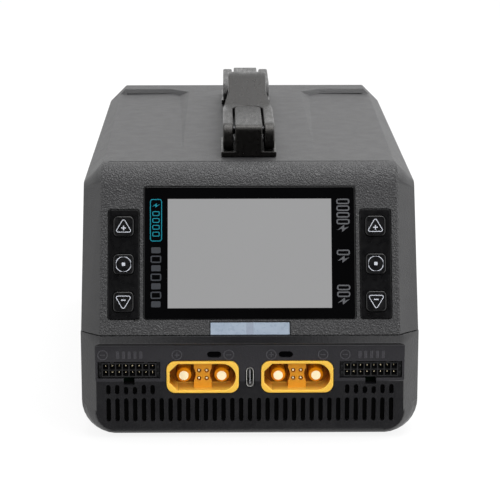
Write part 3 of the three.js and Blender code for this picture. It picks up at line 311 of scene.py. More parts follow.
class Look(Tree):
    """A material built up from the Principled shader and object-space patterns."""

    def __init__(self, name, color, roughness, metallic=0.0, specular=0.5):
        self.material = bpy.data.materials.new(name)
        super().__init__(self.material)
        self.shader = self.nodes["Principled BSDF"]
        self.set("Base Color", (*color, 1))
        self.set("Roughness", roughness)
        self.set("Metallic", metallic)
        self.set("Specular IOR Level", specular)
        self.coordinates = self.add("TexCoord").outputs["Object"]

    def set(self, name, value):
        self.feed(self.shader.inputs[name], value)

    def glow(self, color, strength):
        self.set("Emission Color", (*color, 1))
        self.set("Emission Strength", strength)

    def scatter(self, weight, radius):
        self.set("Subsurface Weight", weight)
        self.set("Subsurface Radius", radius)

    def noise(self, size, detail, stretch=(1, 1, 1), roughness=0.5):
        """A noise value whose features are about `size` millimetres across."""
        place = self.add("Mapping", {"Scale": stretch, "Vector": self.coordinates}).outputs["Vector"]
        inputs = {"Vector": place, "Scale": 1 / (size * MM), "Detail": detail, "Roughness": roughness}
        return self.add("TexNoise", inputs).outputs["Fac"]

    def pebbles(self, size):
        """A leathery grain of rounded bumps about `size` millimetres across."""
        swirl = size * 1.5 * MM
        stray = size * 1.4 * MM
        rounding = 0.35
        crown, valley = 0.1, 0.75
        noise = self.add("TexNoise", {"Vector": self.coordinates, "Scale": 1 / swirl}).outputs["Color"]
        inputs = {0: noise, 1: (stray, stray, stray), 2: self.coordinates}
        place = self.add("VectorMath", inputs, operation="MULTIPLY_ADD").outputs["Vector"]
        inputs = {"Vector": place, "Scale": 1 / (size * MM), "Smoothness": rounding}
        cells = self.add("TexVoronoi", inputs, feature="SMOOTH_F1")
        return self.spread(cells.outputs["Distance"], 1, 0, crown, valley)

    def inside(self, limits):
        """1 inside a block of space given by its limits in millimetres, else 0."""
        border = 0.1
        result = None
        for axis, (low, high) in limits.items():
            for start, end in ((low - border, low), (high + border, high)):
                factor = self.along(axis, start, end)
                result = factor if result is None else self.product(result, factor)
        return result

    def along(self, axis, start, end):
        """0 at one place on an axis and 1 at another, both in millimetres."""
        place = self.add("SeparateXYZ", {"Vector": self.coordinates}).outputs[axis]
        low, high = (0, 1) if start < end else (1, 0)
        first, last = sorted((start, end))
        return self.spread(place, low, high, first * MM, last * MM)

    def blend(self, first, second, factor):
        """The first value where the factor is 0, the second where it is 1."""
        inputs = {"A": first, "B": second, "Factor": factor}
        return self.add("Mix", inputs, data_type="FLOAT").outputs["Result"]

    def so_far(self, socket):
        """What an input of the shader holds: the output linked to it, or its plain value."""
        return socket.links[0].from_socket if socket.is_linked else tuple(socket.default_value)

    def vary_color(self, value, other):
        """Mixes the base colour towards another colour by a 0 to 1 value."""
        base = self.so_far(self.shader.inputs["Base Color"])
        inputs = {"A": base, "B": (*other, 1), "Factor": value}
        self.set("Base Color", self.add("Mix", inputs, data_type="RGBA").outputs["Result"])

    def mottle(self, size, detail, most, other):
        """Drifts in clouds towards another colour, by `most` where the noise is high."""
        self.vary_color(self.spread(self.noise(size, detail), 0, most), other)

    def uneven(self, size, detail, low, high, stretch=(1, 1, 1)):
        """Lets the roughness wander between two values."""
        self.set("Roughness", self.spread(self.noise(size, detail, stretch), low, high))

    def bump(self, value, height):
        """Raises the surface by `height` millimetres where the value is 1."""
        inputs = {"Strength": 1.0, "Distance": height * MM, "Height": value}
        socket = self.shader.inputs["Normal"]
        if socket.is_linked:
            inputs["Normal"] = self.so_far(socket)
        self.set("Normal", self.add("Bump", inputs).outputs["Normal"])


def shade(color, factor):
    return tuple(c * factor for c in color)


def moulded(name, color, roughness, grain, height, specular=0.5):
    """Moulded plastic with a spark-eroded grain, faint mottling and handling marks."""
    look = Look(name, color, roughness, specular=specular)
    bumps = look.pebbles(grain)
    fine = look.noise(grain * 0.5, 3, roughness=0.6)
    look.mottle(22, 3, 0.4, shade(color, 0.85))
    look.vary_color(look.spread(bumps, 0, 0.5, 0.35, 0.95), shade(color, 1.6))
    look.uneven(7, 4, roughness - 0.035, roughness + 0.035)
    look.bump(bumps, height)
    look.bump(fine, height * 0.4)
    return look


def satin(name, color, roughness, specular=0.5):
    look = Look(name, color, roughness, specular=specular)
    look.mottle(9, 3, 0.5, shade(color, 1.6))
    look.uneven(3, 4, roughness - 0.1, roughness + 0.1)
    look.bump(look.noise(0.35, 2), 0.012)
    return look


def metal(name, color, roughness, stretch=(1, 1, 1)):
    look = Look(name, color, roughness, metallic=1.0)
    look.mottle(2.5, 3, 0.6, shade(color, 0.8))
    look.uneven(0.8, 3, roughness - 0.1, roughness + 0.12, stretch)
    look.bump(look.noise(0.4, 2, stretch), 0.006)
    return look


CASE_TOP_GREY = (0.029, 0.029, 0.0303)
CASE_BASE_GREY = (0.008, 0.0078, 0.009)
PANEL_GREY = (0.026, 0.0252, 0.0285)  # the connector panel, paler than the rest
BLACK = (0.003, 0.003, 0.0033)
HANDLE_BLACK = (0.0016, 0.0015, 0.0014)
YELLOW = (1.0, 0.60, 0.085)
# Darker copies of the connector yellow: painted shade inside the sockets, on the block, the walls and, darkest,
# the floor.
SHADED_BLOCK_YELLOW = (0.72, 0.31, 0.022)
SHADED_WALL_YELLOW = (0.56, 0.21, 0.011)
SHADED_FLOOR_YELLOW = (0.17, 0.05, 0.003)
# a paler gold put on the contacts' ends: a painted highlight
CONTACT_TIP_HIGHLIGHT = (1.0, 0.87, 0.58)
PIN_GOLD = (0.74, 0.26, 0.004)

ROOF_SEAM_Y = -94.4  # where the roof meets the rounded front edge
ROOF_END_Y = 125  # where the trays end behind
FACE_HALF_WIDTH = 67.0


def top_look():
    """Upper-case plastic: a leathery grain on the face and a much finer one on the roof and sides."""
    look = Look("case_top", CASE_TOP_GREY, 0.5, specular=0.47)
    front = look.inside({"X": (-FACE_HALF_WIDTH, FACE_HALF_WIDTH), "Y": (-140, ROOF_SEAM_Y)})
    coarse = look.pebbles(0.8)
    fine = look.spread(look.pebbles(0.5), 0, 0.17, 0, 1)
    grain = look.blend(fine, coarse, front)
    look.mottle(22, 3, 0.4, shade(CASE_TOP_GREY, 0.85))
    look.vary_color(look.spread(grain, 0, 0.6, 0.35, 0.95), shade(CASE_TOP_GREY, 1.8))
    look.uneven(7, 4, 0.47, 0.53)
    look.bump(grain, 0.42)
    look.bump(look.noise(0.5, 3, roughness=0.6), 0.035)
    return look


PANEL_HALF_WIDTH = 69.2  # to where the corner chamfers cut the connector panel
PALE_AHEAD = 0.45  # the paler plastic starts this far in front of the balance headers
PALE_DEPTH = 12
PALE_OVER_CONNECTOR = 5.4  # and this far over the battery connectors' lowest edge


def base_look():
    """Dark lower-case plastic that is paler on the face of the connector panel; the darker plastic left under the
    panel, along the bottom of the front, is partly painted shade.
    """
    look = moulded("case_base", CASE_BASE_GREY, 0.4, 0.8, 0.05, specular=0.6)
    front = local_box("left_balance_header", TOP)[0].y - PALE_AHEAD
    bottom = local_box("left_output_connector", TOP)[0].z + PALE_OVER_CONNECTOR
    top = local_box("lower_shell", TOP)[1].z
    width = (-PANEL_HALF_WIDTH, PANEL_HALF_WIDTH)
    limits = {"X": width, "Y": (front, front + PALE_DEPTH), "Z": (bottom, top)}
    # Paler panel over darker plastic below it: partly the panel's own tone, partly painted shade along the bottom
    # of the front.
    look.vary_color(look.inside(limits), PANEL_GREY)
    return look


def handle_look():
    """Black plastic with a fine grain and a slightly warm sheen, rubbed along its length."""
    look = moulded("handle_plastic", HANDLE_BLACK, 0.32, 0.5, 0.03, specular=0.34)
    look.set("Specular Tint", (1.0, 0.965, 0.93, 1))
    look.uneven(1.6, 4, 0.24, 0.42, (1, 0.15, 1))
    return look


def yellow_look(name, color):
    """Slightly translucent connector plastic."""
    look = Look(name, color, 0.38)
    look.scatter(0.12, (0.003, 0.0015, 0.0004))
    look.mottle(6, 3, 0.5, shade(color, 0.85))
    look.uneven(1.2, 3, 0.3, 0.46)
    look.bump(look.noise(0.4, 2), 0.01)
    return look


def make_looks():
    looks = {
        "case_top": top_look(),
        "case_base": base_look(),
        "black_plastic": satin("black_plastic", BLACK, 0.32, specular=0.22),
        "handle_plastic": handle_look(),
        "button_plastic": satin("button_plastic", (0.003, 0.003, 0.0034), 0.3, specular=0.5),
        "gold_contact": metal("gold_contact", (1.0, 0.78, 0.40), 0.35),
        "steel": metal("steel", (0.62, 0.62, 0.61), 0.28, (1, 1, 6)),
        "blackened_steel": metal("blackened_steel", (0.05, 0.05, 0.052), 0.35),
        "aluminium": metal("aluminium", (0.7, 0.71, 0.72), 0.35, (1, 0.1, 1)),
        "circuit_board": satin("circuit_board", (0.004, 0.012, 0.007), 0.4),
        "winding": satin("winding", (0.5, 0.26, 0.04), 0.45),
        "capacitor_sleeve": satin("capacitor_sleeve", (0.015, 0.02, 0.05), 0.3),
        "rubber": moulded("rubber", (0.018, 0.018, 0.018), 0.85, 0.6, 0.04),
    }
    window = Look("window_gloss", (0.0012, 0.0012, 0.0014), 0.08)
    window.uneven(14, 4, 0.05, 0.12)
    window.mottle(30, 3, 0.6, (0.002, 0.002, 0.0023))
    looks["window_gloss"] = window
    guide = Look("light_guide", (0.235, 0.28, 0.34), 0.3)
    guide.scatter(0.3, (0.002, 0.002, 0.002))
    guide.glow((0.55, 0.68, 0.85), 0.08)
    guide.mottle(5, 2, 0.5, (0.32, 0.37, 0.43))
    guide.uneven(1.5, 3, 0.22, 0.4)
    looks["light_guide"] = guide
    looks["yellow_plastic"] = yellow_look("yellow_plastic", YELLOW)
    return {slot: look.material for slot, look in looks.items()}


LOOKS = make_looks()


def flat_print(name, color, roughness=0.45):
    """Ink with a faint uneven cover."""
    look = Look(name, color, roughness)
    look.mottle(0.8, 3, 0.35, shade(color, 0.75))
    look.uneven(0.5, 2, roughness - 0.08, roughness + 0.1)
    return look.material


LEGEND_INK = flat_print("legend_ink", (0.5, 0.52, 0.57))
CYAN_INK = flat_print("cyan_ink", (0.0, 0.19, 0.25))
GREY_INK = flat_print("grey_ink", (0.085, 0.087, 0.094))
DIM_INK = flat_print("dim_ink", (0.033, 0.036, 0.042))
# Painted shade: a dark line that stands in for a groove's shade.
GROOVE_SHADE_INK = flat_print("groove_shade_ink", (0.004, 0.004, 0.0045), 0.8)


def look_of(node):
    return LOOKS[SLOT_OF[node]]


# ---- case

TRAY_WALL_LEAN = 2.0  # how far a tray's inner wall runs out for its depth
TRAY_END_LEAN = 0.7
TRAY_DEEPEST = 3.0
TOUCH = 0.05  # heights nearer than this count as one


def is_tray_wall(face, top):
    centre = face.calc_center_median() / MM
    reaches_top = max(v.co.z for v in face.verts) / MM > top - TOUCH
    shallow = abs(face.normal.z) < 0.05 and centre.z > top - TRAY_DEEPEST
    return shallow and reaches_top and ROOF_SEAM_Y < centre.y < ROOF_END_Y


def lean_tray_walls(bm):
    """Gives the upright walls of the roof trays a slope, by moving the foot of each wall."""
    top = max(v.co.z for v in bm.verts)
    feet = {}
    for face in bm.faces:
        if not is_tray_wall(face, top / MM):
            continue
        for vertex in face.verts:
            if top - vertex.co.z > TOUCH * MM:
                feet.setdefault(vertex, []).append(face.normal.copy())
    for vertex, normals in feet.items():
        depth = top - vertex.co.z
        first = normals[0]
        others = [n for n in normals if n.dot(first) < 0.99]
        if not others:
            vertex.co += first * wall_lean(first) * depth
            continue
        both = Matrix((first.xy, others[0].xy))
        leans = Vector((wall_lean(first), wall_lean(others[0])))
        vertex.co.xy += both.inverted() @ leans * depth


def wall_lean(normal):
    return TRAY_WALL_LEAN if abs(normal.x) > 0.9 else TRAY_END_LEAN


# A black sheet behind the vent slots: painted shade for the dark inside of the case.
SHADE_SHEET_HALF_WIDTH = 66
SHADE_SHEET_LOW = 6
SHADE_SHEET_SETBACK = 2.6  # behind the panel's face
SHADE_SHEET_THICKNESS = 0.8


def build_vent_shade_sheet():
    """A black sheet behind the vent slots, cut out round the battery connectors: painted shade for the dark inside
    of the case.
    """
    # Painted shade: a black sheet with a rough grain.
    sheet_look = Look("vent_shade_sheet", (0.0015, 0.0015, 0.0015), 1.0, specular=0.05)
    sheet_look.mottle(0.6, 2, 1, (0.004, 0.004, 0.004))
    sheet_look.bump(sheet_look.noise(0.5, 2), 0.2)
    connector_low, connector_high, _ = local_box("right_output_connector", PANEL)
    header_low = local_box("right_balance_header", PANEL)[0]
    step = connector_high.x + 1
    under_connector = connector_low.y - 0.5
    under_header = header_low.y - 2.5
    right = [(step, under_connector), (step, under_header), (SHADE_SHEET_HALF_WIDTH, under_header)]
    right.append((SHADE_SHEET_HALF_WIDTH, SHADE_SHEET_LOW))
    left = [(-x, y) for x, y in reversed(right)]
    shape = [Vector(corner) for corner in left + right]
    front = -connector_panel_y() - SHADE_SHEET_SETBACK
    back = front - SHADE_SHEET_THICKNESS
    look = sheet_look.material
    plate_piece("vent_shade_sheet", PANEL, look, "lower_shell", shape, back, front, edge=0.1, stands=False)


SEAM_WIDTH = 0.9
SEAM_MARGIN = 3.2  # from the seam's ends to the chamfers


def build_roof_seam():
    """A dark strip of painted shade that stands in for the fine groove where the roof's grain gives way to the
    face's.
    """
    top = local_box("upper_shell", TOP)[1].z
    line = rectangle(0, ROOF_SEAM_Y, 2 * (FACE_HALF_WIDTH - SEAM_MARGIN), SEAM_WIDTH)
    low, high = top - 0.3, top + 0.015
    plate_piece("roof_seam", TOP, GROOVE_SHADE_INK, "upper_shell", line, low, high, edge=0, stands=False)


def build_case():
    softened("upper_case", "upper_shell", 0.45, short=4, prepare=lean_tray_walls)
    build_roof_seam()
    build_vent_shade_sheet()
    softened("lower_case", "lower_shell", 0.3, least=10)


# ---- display face

SCREEN = {"width": 73.3, "height": 49.3}


def screen_look():
    """A switched-off backlit panel under gloss: an even cool grey. Its glow is painted light, as the panel is off.
    """
    look = Look("lcd_panel", (0.05, 0.05, 0.051), 0.12)
    look.mottle(60, 2, 0.4, (0.056, 0.056, 0.057))
    look.uneven(14, 4, 0.08, 0.16)
    # Painted light: the switched-off panel is given a glow.
    look.glow((0.30, 0.30, 0.303), 0.92)
    return look.material


def build_window():
    node = "display_window"
    low, high, _ = local_box(node, FACE)
    lcd = middle("lcd_module", FACE)
    glass = box_outline(low, high, 1)
    plate_piece("display_glass", FACE, look_of(node), node, glass, low.z, high.z, edge=0.25)
    screen = rectangle(lcd.x, lcd.y, SCREEN["width"], SCREEN["height"])
    back, front = high.z - 0.2, high.z + 0.02
    look = screen_look()
    plate_piece("display_screen", FACE, look, node, screen, back, front, edge=0.02, steps=1, stands=False)


def add_stroke(bm, points, width, low, high):
    """A closed line of a width along an outline."""
    points = anticlockwise(list(points))
    add_plate(bm, inset(points, -width / 2), low, high, [inset(points, width / 2)], edge=0)


def bolt(x, y, size):
    """A lightning bolt that lies on its side, `size` long."""
    shape = ((0.15, 0.5), (-0.3, -0.08), (-0.02, -0.08), (-0.15, -0.5), (0.3, 0.1), (0.03, 0.1))
    return [Vector((x + b * size, y + a * size)) for a, b in shape]


PRINT_HEIGHT = 0.04  # over the surface that a print lies on
BADGE = {"width": 5.0, "height": 18.8, "middle": 9.6, "line": 0.36, "bolt": 3.4, "bolt_middle": 2.9}
BADGE_CELL = {"width": 2.9, "height": 1.8, "first": 6.6, "pitch": 3.1, "count": 4}
LEVEL_CELL = {"width": 4.2, "height": 2.7, "first": 23.2, "pitch": 4.05, "count": 7, "line": 0.6}
RATING_CELL = {"width": 5.3, "height": 1.9, "first": 1.3, "pitch": 3.05, "line": 0.62, "bolt": 5.4}
RATING_GROUPS = ((0.0, 5), (23.1, 2), (38.9, 3))  # where each starts below the screen's top; its signs


def print_cell(kind, x, y, corner):
    return rectangle(x, y, kind["width"], kind["height"], corner, 3)


def build_window_prints():
    """Generic pictograms beside the screen, where such chargers carry their labels."""
    node = "display_window"
    low, high, _ = local_box(node, FACE)
    lcd = middle("lcd_module", FACE)
    bottom, top = high.z, high.z + PRINT_HEIGHT
    left = (low.x + lcd.x - SCREEN["width"] / 2) / 2
    right = (high.x + lcd.x + SCREEN["width"] / 2) / 2
    start = lcd.y + SCREEN["height"] / 2

    bm = bmesh.new()
    badge = rectangle(left, start - BADGE["middle"], BADGE["width"], BADGE["height"], 1.0)
    add_stroke(bm, badge, BADGE["line"], bottom, top)
    add_plate(bm, bolt(left, start - BADGE["bolt_middle"], BADGE["bolt"]), bottom, top, edge=0)
    for i in range(BADGE_CELL["count"]):
        y = start - BADGE_CELL["first"] - BADGE_CELL["pitch"] * i
        add_stroke(bm, print_cell(BADGE_CELL, left, y, 0.5), BADGE["line"], bottom, top)
    piece("window_badge_print", bm, FACE, CYAN_INK, node, stands=False)

    bm = bmesh.new()
    for i in range(LEVEL_CELL["count"]):
        y = start - LEVEL_CELL["first"] - LEVEL_CELL["pitch"] * i
        cell = print_cell(LEVEL_CELL, left, y, 0.5)
        if i % 2 == 0:
            add_plate(bm, cell, bottom, top, edge=0)
        else:
            add_stroke(bm, cell, LEVEL_CELL["line"], bottom, top)
    piece("window_level_print", bm, FACE, DIM_INK, node, stands=False)

    bm = bmesh.new()
    for group, count in RATING_GROUPS:
        for i in range(count):
            y = start - group - RATING_CELL["first"] - RATING_CELL["pitch"] * i
            if i == count - 1:
                add_plate(bm, bolt(right, y, RATING_CELL["bolt"]), bottom, top, edge=0)
            else:
                add_stroke(bm, print_cell(RATING_CELL, right, y, 0.7), RATING_CELL["line"], bottom, top)
    piece("window_rating_print", bm, FACE, GREY_INK, node, stands=False)


RIB_WIDTH = 3.3


def build_light_bar():
    """A milky bar with a narrow raised rib in its middle."""
    node = "light_bar"
    low, high, centre = local_box(node, FACE)
    bar = box_outline(low, high, 0.2, 3)
    plate_piece("status_light_bar", FACE, look_of(node), node, bar, low.z, high.z - 0.05, edge=0.2)
    rib = rectangle(centre.x, centre.y, RIB_WIDTH, high.y - low.y - 0.2, 0.1, 3)
    look = light_rib_look()
    plate_piece("status_light_rib", FACE, look, node, rib, high.z - 0.5, high.z, edge=0.1, stands=False)


def light_rib_look():
    look = Look("light_rib", (0.205, 0.235, 0.285), 0.4)
    look.mottle(1.5, 2, 0.5, (0.26, 0.3, 0.37))
    look.uneven(1, 3, 0.3, 0.5)
    look.glow((0.5, 0.62, 0.78), 0.06)
    return look.material


# ---- keypads

KEY_RADIUS = 2.0
KEY_SIZE = 9.1
KEY_HOLE = {"size": 9.6, "radius": 2.2}
KEY_FLANGE = 10.6
KEY_DISH = 0.12
LEGEND_LINE = 0.33
LEGEND_RING = 3.4
LEGEND_TRIANGLE = ((-3.65, -2.6), (3.65, -2.6), (0, 3.6))
SIGN = {"width": 2.1, "line": 0.5, "arm": 0.8, "arm_from": 0.66, "below": 0.75, "dot": 1.5}


def key_legend(bm, kind, x, y, low, high):
    """A pale legend: a triangle or a circle, with a plain sign inside."""
    if kind == "select":
        add_stroke(bm, ring_points(x, y, LEGEND_RING), LEGEND_LINE, low, high)
        add_plate(bm, rectangle(x, y, SIGN["dot"], SIGN["dot"], 0.3, 3), low, high, edge=0)
        return
    up = 1 if kind == "up" else -1
    triangle = outline([(x + a, y + up * b, 0.7) for a, b in LEGEND_TRIANGLE], 5)
    add_stroke(bm, triangle, LEGEND_LINE, low, high)
    sign_y = y - up * SIGN["below"]
    add_plate(bm, rectangle(x, sign_y, SIGN["width"], SIGN["line"]), low, high, edge=0)
    if kind == "up":
        for side in (-1, 1):
            arm = rectangle(x, sign_y + side * SIGN["arm_from"], SIGN["line"], SIGN["arm"])
            add_plate(bm, arm, low, high, edge=0)


def build_keypads():
    for side in SIDES:
        node = f"{side}_keypad_bezel"
        low, high, _ = local_box(node, FACE)
        holes = []
        for key in KEYS:
            at = middle(f"{side}_{key}_button", FACE)
            holes.append(rectangle(at.x, at.y, KEY_HOLE["size"], KEY_HOLE["size"], KEY_HOLE["radius"]))
        outer = box_outline(low, high, 1.0)
        plate_piece(f"{side}_key_surround", FACE, look_of(node), node, outer, low.z, high.z, holes)
        for key in KEYS:
            build_key(side, key)


def build_key(side, key):
    node = f"{side}_{key}_button"
    low, high, at = local_box(node, FACE)
    bm = bmesh.new()
    cap = rectangle(at.x, at.y, KEY_SIZE, KEY_SIZE, KEY_RADIUS)
    flange = rectangle(at.x, at.y, KEY_FLANGE, KEY_FLANGE, 0.5, 3)
    rounding = 0.55
    dish_margin = 1.6
    add_plate(bm, flange, high.z - 3.2, high.z - 2.4, edge=0.1)
    add_plate(bm, cap, high.z - 3, high.z, edge=rounding, steps=4)
    # A shallow dish lowers the middle of the key's top.
    top = [v for v in bm.verts if v.co.z > high.z - 1e-3]
    dish_size = KEY_SIZE - 2 * dish_margin
    dished = rectangle(at.x, at.y, dish_size, dish_size, KEY_RADIUS - 0.6)
    for face in [f for f in bm.faces if all(v in top for v in f.verts)]:
        bm.faces.remove(face)
    ink = high.z - KEY_DISH
    inner = [bm.verts.new((p.x, p.y, ink)) for p in dished]
    outer = inset(anticlockwise(cap), rounding)
    rim = [min(top, key=lambda v: (v.co.xy - p).length) for p in outer]
    for i in range(len(inner)):
        bm.faces.new((rim[i - 1], rim[i], inner[i], inner[i - 1]))
    bm.faces.new(inner)
    add_lathe(bm, [(0, low.z), (2, low.z), (2, high.z - 3), (0, high.z - 3)], at.x, at.y, 24)
    piece(f"{side}_{key}_key", bm, FACE, look_of(node), node)
    bm = bmesh.new()
    key_legend(bm, key, at.x, at.y, ink, ink + PRINT_HEIGHT)
    piece(f"{side}_{key}_legend", bm, FACE, LEGEND_INK, node, stands=False)


# ---- connector panel

CAVITY_DEPTH = 4.5
WELL_DEPTH = 12.0
RIM_THICKNESS = 0.9
RIM_RADIUS = 4
COLLAR_RADIUS = 3.6


def cavity_outline(x, y, width, height):
    """Chamfered at the left end and round at the right."""
    w, h = width / 2 - 1.4, height / 2 - 1.3
    chamfer = 3.6
    waist = 2.6
    corners = [
        (x - w + chamfer, y - h, 0.5),
        (x + w, y - h, h - 0.1),
        (x + w, y + h, h - 0.1),
        (x - w + chamfer, y + h, 0.5),
        (x - w, y + waist, 0.5),
        (x - w, y - waist, 0.5),
    ]
    return outline(corners, 10)


def lit_low(name, color, low, high):
    """Yellow plastic inside the sockets, brighter under a height where it faces the light."""
    look = yellow_look(name, color)
    look.vary_color(look.along("Z", high, low), YELLOW)
    return look


def build_output_connectors():
    # The block, walls and floor take darker copies of the yellow as painted shade.
    block_look = yellow_look("yellow_block_shaded", SHADED_BLOCK_YELLOW).material
    wall_look = lit_low("yellow_walls_shaded", SHADED_WALL_YELLOW, 22.2, 24.6).material
    floor_look = lit_low("yellow_floor_shaded", SHADED_FLOOR_YELLOW, 21.4, 22.8).material
    pin_look = satin("gilt_pin", PIN_GOLD, 0.35).material
    # The contacts' ends get a paler gold as a painted highlight.
    tip_highlight_look = satin("contact_tip_highlight", CONTACT_TIP_HIGHLIGHT, 0.35).material
    for side in SIDES:
        node = f"{side}_output_connector"
        low, high, at = local_box(node, PANEL)
        width, height = high.x - low.x, high.y - low.y
        cavity = cavity_outline(at.x, at.y, width, height)
        rim = rectangle(at.x, at.y, width, height, RIM_RADIUS, 10)
        rim_back = high.z - RIM_THICKNESS
        face = high.z - CAVITY_DEPTH
        floor = high.z - WELL_DEPTH
        pins = [middle(f"{side}_{pole}_pin", PANEL) for pole in ("negative", "positive")]
        pins.sort(key=lambda pin: pin.x)
        rim_look = look_of(node)
        plate_piece(f"{side}_battery_socket", PANEL, rim_look, node, rim, rim_back, high.z, [cavity], 0.45)
        walls = inset(anticlockwise(rim), 0.02)
        collars = [ring_points(pin.x, pin.y, COLLAR_RADIUS) for pin in pins]
        block = centre_block(at, pins, height)
        bottom = inset(anticlockwise(cavity), -0.3)
        for name, look, shape, back, front, holes, edge in (
            ("walls", wall_look, walls, low.z, rim_back, [cavity], 0),
            ("block", block_look, block, floor, face, signal_holes(side), 0.35),
            ("floor", floor_look, bottom, floor - 1, floor, collars, 0.2),
        ):
            name = f"{side}_socket_{name}"
            plate_piece(name, PANEL, look, node, shape, back, front, holes, edge, stands=False)
        for pin, pole in zip(pins, ("a", "b")):
            build_power_pin(side, pole, pin, pin_look, tip_highlight_look)
        build_signal_pins(side, tip_highlight_look)


def centre_block(at, pins, height):
    """The block between the two wells, with a hollow side towards each pin."""
    reach = 5.3
    span = math.radians(33)
    steps = 12
    top = at.y + height / 2 - 1.0
    bottom = at.y - height / 2 + 1.0
    points = []
    for pin, side in ((pins[1], -1), (pins[0], 1)):
        arc = []
        for k in range(steps + 1):
            angle = span * (2 * k / steps - 1)
            arc.append(Vector((pin.x + side * reach * math.cos(angle), pin.y + reach * math.sin(angle))))
        if side > 0:
            arc.reverse()
            points += [Vector((arc[0].x, top)), *arc, Vector((arc[-1].x, bottom))]
        else:
            points += [Vector((arc[0].x, bottom)), *arc, Vector((arc[-1].x, top))]
    return points


def signal_places(side):
    """The four small contacts, found from the corners of their carrier's pins."""
    node = f"{side}_signal_pins"
    _, high, centre = local_box(node, PANEL)
    inverse = PANEL.inverted()
    points = [inverse @ vertex.co / MM for vertex in NODES[node].data.vertices]
    tips = [p for p in points if p.z > high.z - TOUCH]
    places = []
    for a in (-1, 1):
        for b in (-1, 1):
            own = [p for p in tips if (p.x - centre.x) * a > 0 and (p.y - centre.y) * b > 0]
            x = (min(p.x for p in own) + max(p.x for p in own)) / 2
            y = (min(p.y for p in own) + max(p.y for p in own)) / 2
            places.append(Vector((x, y, high.z)))
    return places


SIGNAL_HOLE_RADIUS = 0.95


def signal_holes(side):
    return [ring_points(p.x, p.y, SIGNAL_HOLE_RADIUS, 20) for p in signal_places(side)]


SIGNAL_RADIUS = 0.55
SIGNAL_TIP_RADIUS = 0.46
CARRIER_DEPTH = 1.2  # of the plate that carries a row of contacts
PIN_TIP_RADIUS = 2.05


def build_signal_pins(side, tip_highlight_look):
    node = f"{side}_signal_pins"
    low, high, _ = local_box(node, PANEL)
    bm = bmesh.new()
    add_plate(bm, box_outline(low, high, 0.3, 3), low.z, low.z + CARRIER_DEPTH)
    root = low.z + 1
    wide = SIGNAL_RADIUS
    for p in signal_places(side):
        tip = p.z + 0.2
        profile = [(0, root), (wide, root), (wide, tip - 0.35), (wide - 0.13, tip - 0.05), (0, tip)]
        add_lathe(bm, profile, p.x, p.y, 16)
    piece(f"{side}_signal_contacts", bm, PANEL, look_of(node), node)
    # Pale discs on the contacts' ends: a painted highlight.
    bm = bmesh.new()
    wide = SIGNAL_TIP_RADIUS
    for p in signal_places(side):
        tip = p.z + 0.3
        profile = [(0, p.z), (wide, p.z), (wide, tip - 0.1), (wide - 0.1, tip), (0, tip)]
        add_lathe(bm, profile, p.x, p.y, 16)
    piece(f"{side}_signal_tips", bm, PANEL, tip_highlight_look, node, stands=False)


def build_power_pin(side, pole, at, pin_look, tip_highlight_look):
    """A round contact with a chamfered tip."""
    nodes = [f"{side}_{name}_pin" for name in ("negative", "positive")]
    node = min(nodes, key=lambda n: abs(middle(n, PANEL).x - at.x))
    low, high, _ = local_box(node, PANEL)
    radius = (high.x - low.x) / 2
    tip = high.z
    profile = [
        (0, low.z),
        (radius, low.z),
        (radius, tip - 1.5),
        (radius - 0.12, tip - 1.25),
        (PIN_TIP_RADIUS + 0.2, tip - 0.12),
        (PIN_TIP_RADIUS, tip),
        (0, tip - 0.05),
    ]
    turned_piece(f"{side}_power_contact_{pole}", PANEL, pin_look, node, profile, at.x, at.y, 48)
    # A pale disc on the pin's end: a painted highlight, not wear.
    highlight_radius = PIN_TIP_RADIUS + 0.05
    root, end = tip - 0.1, tip + 0.08
    profile = [(0, root), (highlight_radius, root), (highlight_radius, end - 0.06), (highlight_radius - 0.15, end), (0, end)]
    name = f"{side}_contact_tip_highlight_{pole}"
    turned_piece(name, PANEL, tip_highlight_look, node, profile, at.x, at.y, 32, stands=False)


HEADER_COLUMNS = 8
HEADER_PITCH = 3.0
HEADER_CELL = (2.5, 2.6)
HEADER_BODY = (24.5, 6.6)
HEADER_CARRIER = (24, 6.2)
HEADER_EAR = (1.4, 7.2)
HEADER_CLIP = (1.1, 1.3)
HEADER_KEY = {"width": 1.6, "height": 0.5, "across": 7.56, "up": 3.45}
FLANGE_DROP = 1.3  # from the header's face back to its ears
BALANCE_PIN = 0.72
BALANCE_TIP = 0.4


def header_cells(centre):
    for column in range(HEADER_COLUMNS):
        for row in (-0.5, 0.5):
            x = centre.x + (column - (HEADER_COLUMNS - 1) / 2) * HEADER_PITCH
            yield x, centre.y + row * HEADER_PITCH


def build_header_body(side, look):
    node = f"{side}_balance_header"
    low, high, at = local_box(node, PANEL)
    cells = [rectangle(x, y, *HEADER_CELL, 0.2, 2) for x, y in header_cells(at)]
    bm = bmesh.new()
    add_plate(bm, rectangle(at.x, at.y, *HEADER_BODY, 0.3, 3), low.z, high.z, cells, edge=0.12)
    flange_top = high.z - FLANGE_DROP
    for end in (-1, 1):
        ear = at.x + end * (high.x - low.x - HEADER_EAR[0]) / 2
        add_plate(bm, rectangle(ear, at.y, *HEADER_EAR, 0.2, 2), low.z, flange_top, edge=0.1)
        for row in (-1, 1):
            clip = rectangle(ear, at.y + row * HEADER_PITCH / 2, *HEADER_CLIP, 0.2, 2)
            add_plate(bm, clip, flange_top - 1, high.z - 0.4, edge=0.12)
        x, y = at.x + end * HEADER_KEY["across"], at.y + HEADER_KEY["up"]
        key = rectangle(x, y, HEADER_KEY["width"], HEADER_KEY["height"], 0.1, 2)
        add_plate(bm, key, low.z, high.z - 0.1, edge=0.1)
    piece(f"{side}_balance_socket", bm, PANEL, look, node)
    return at


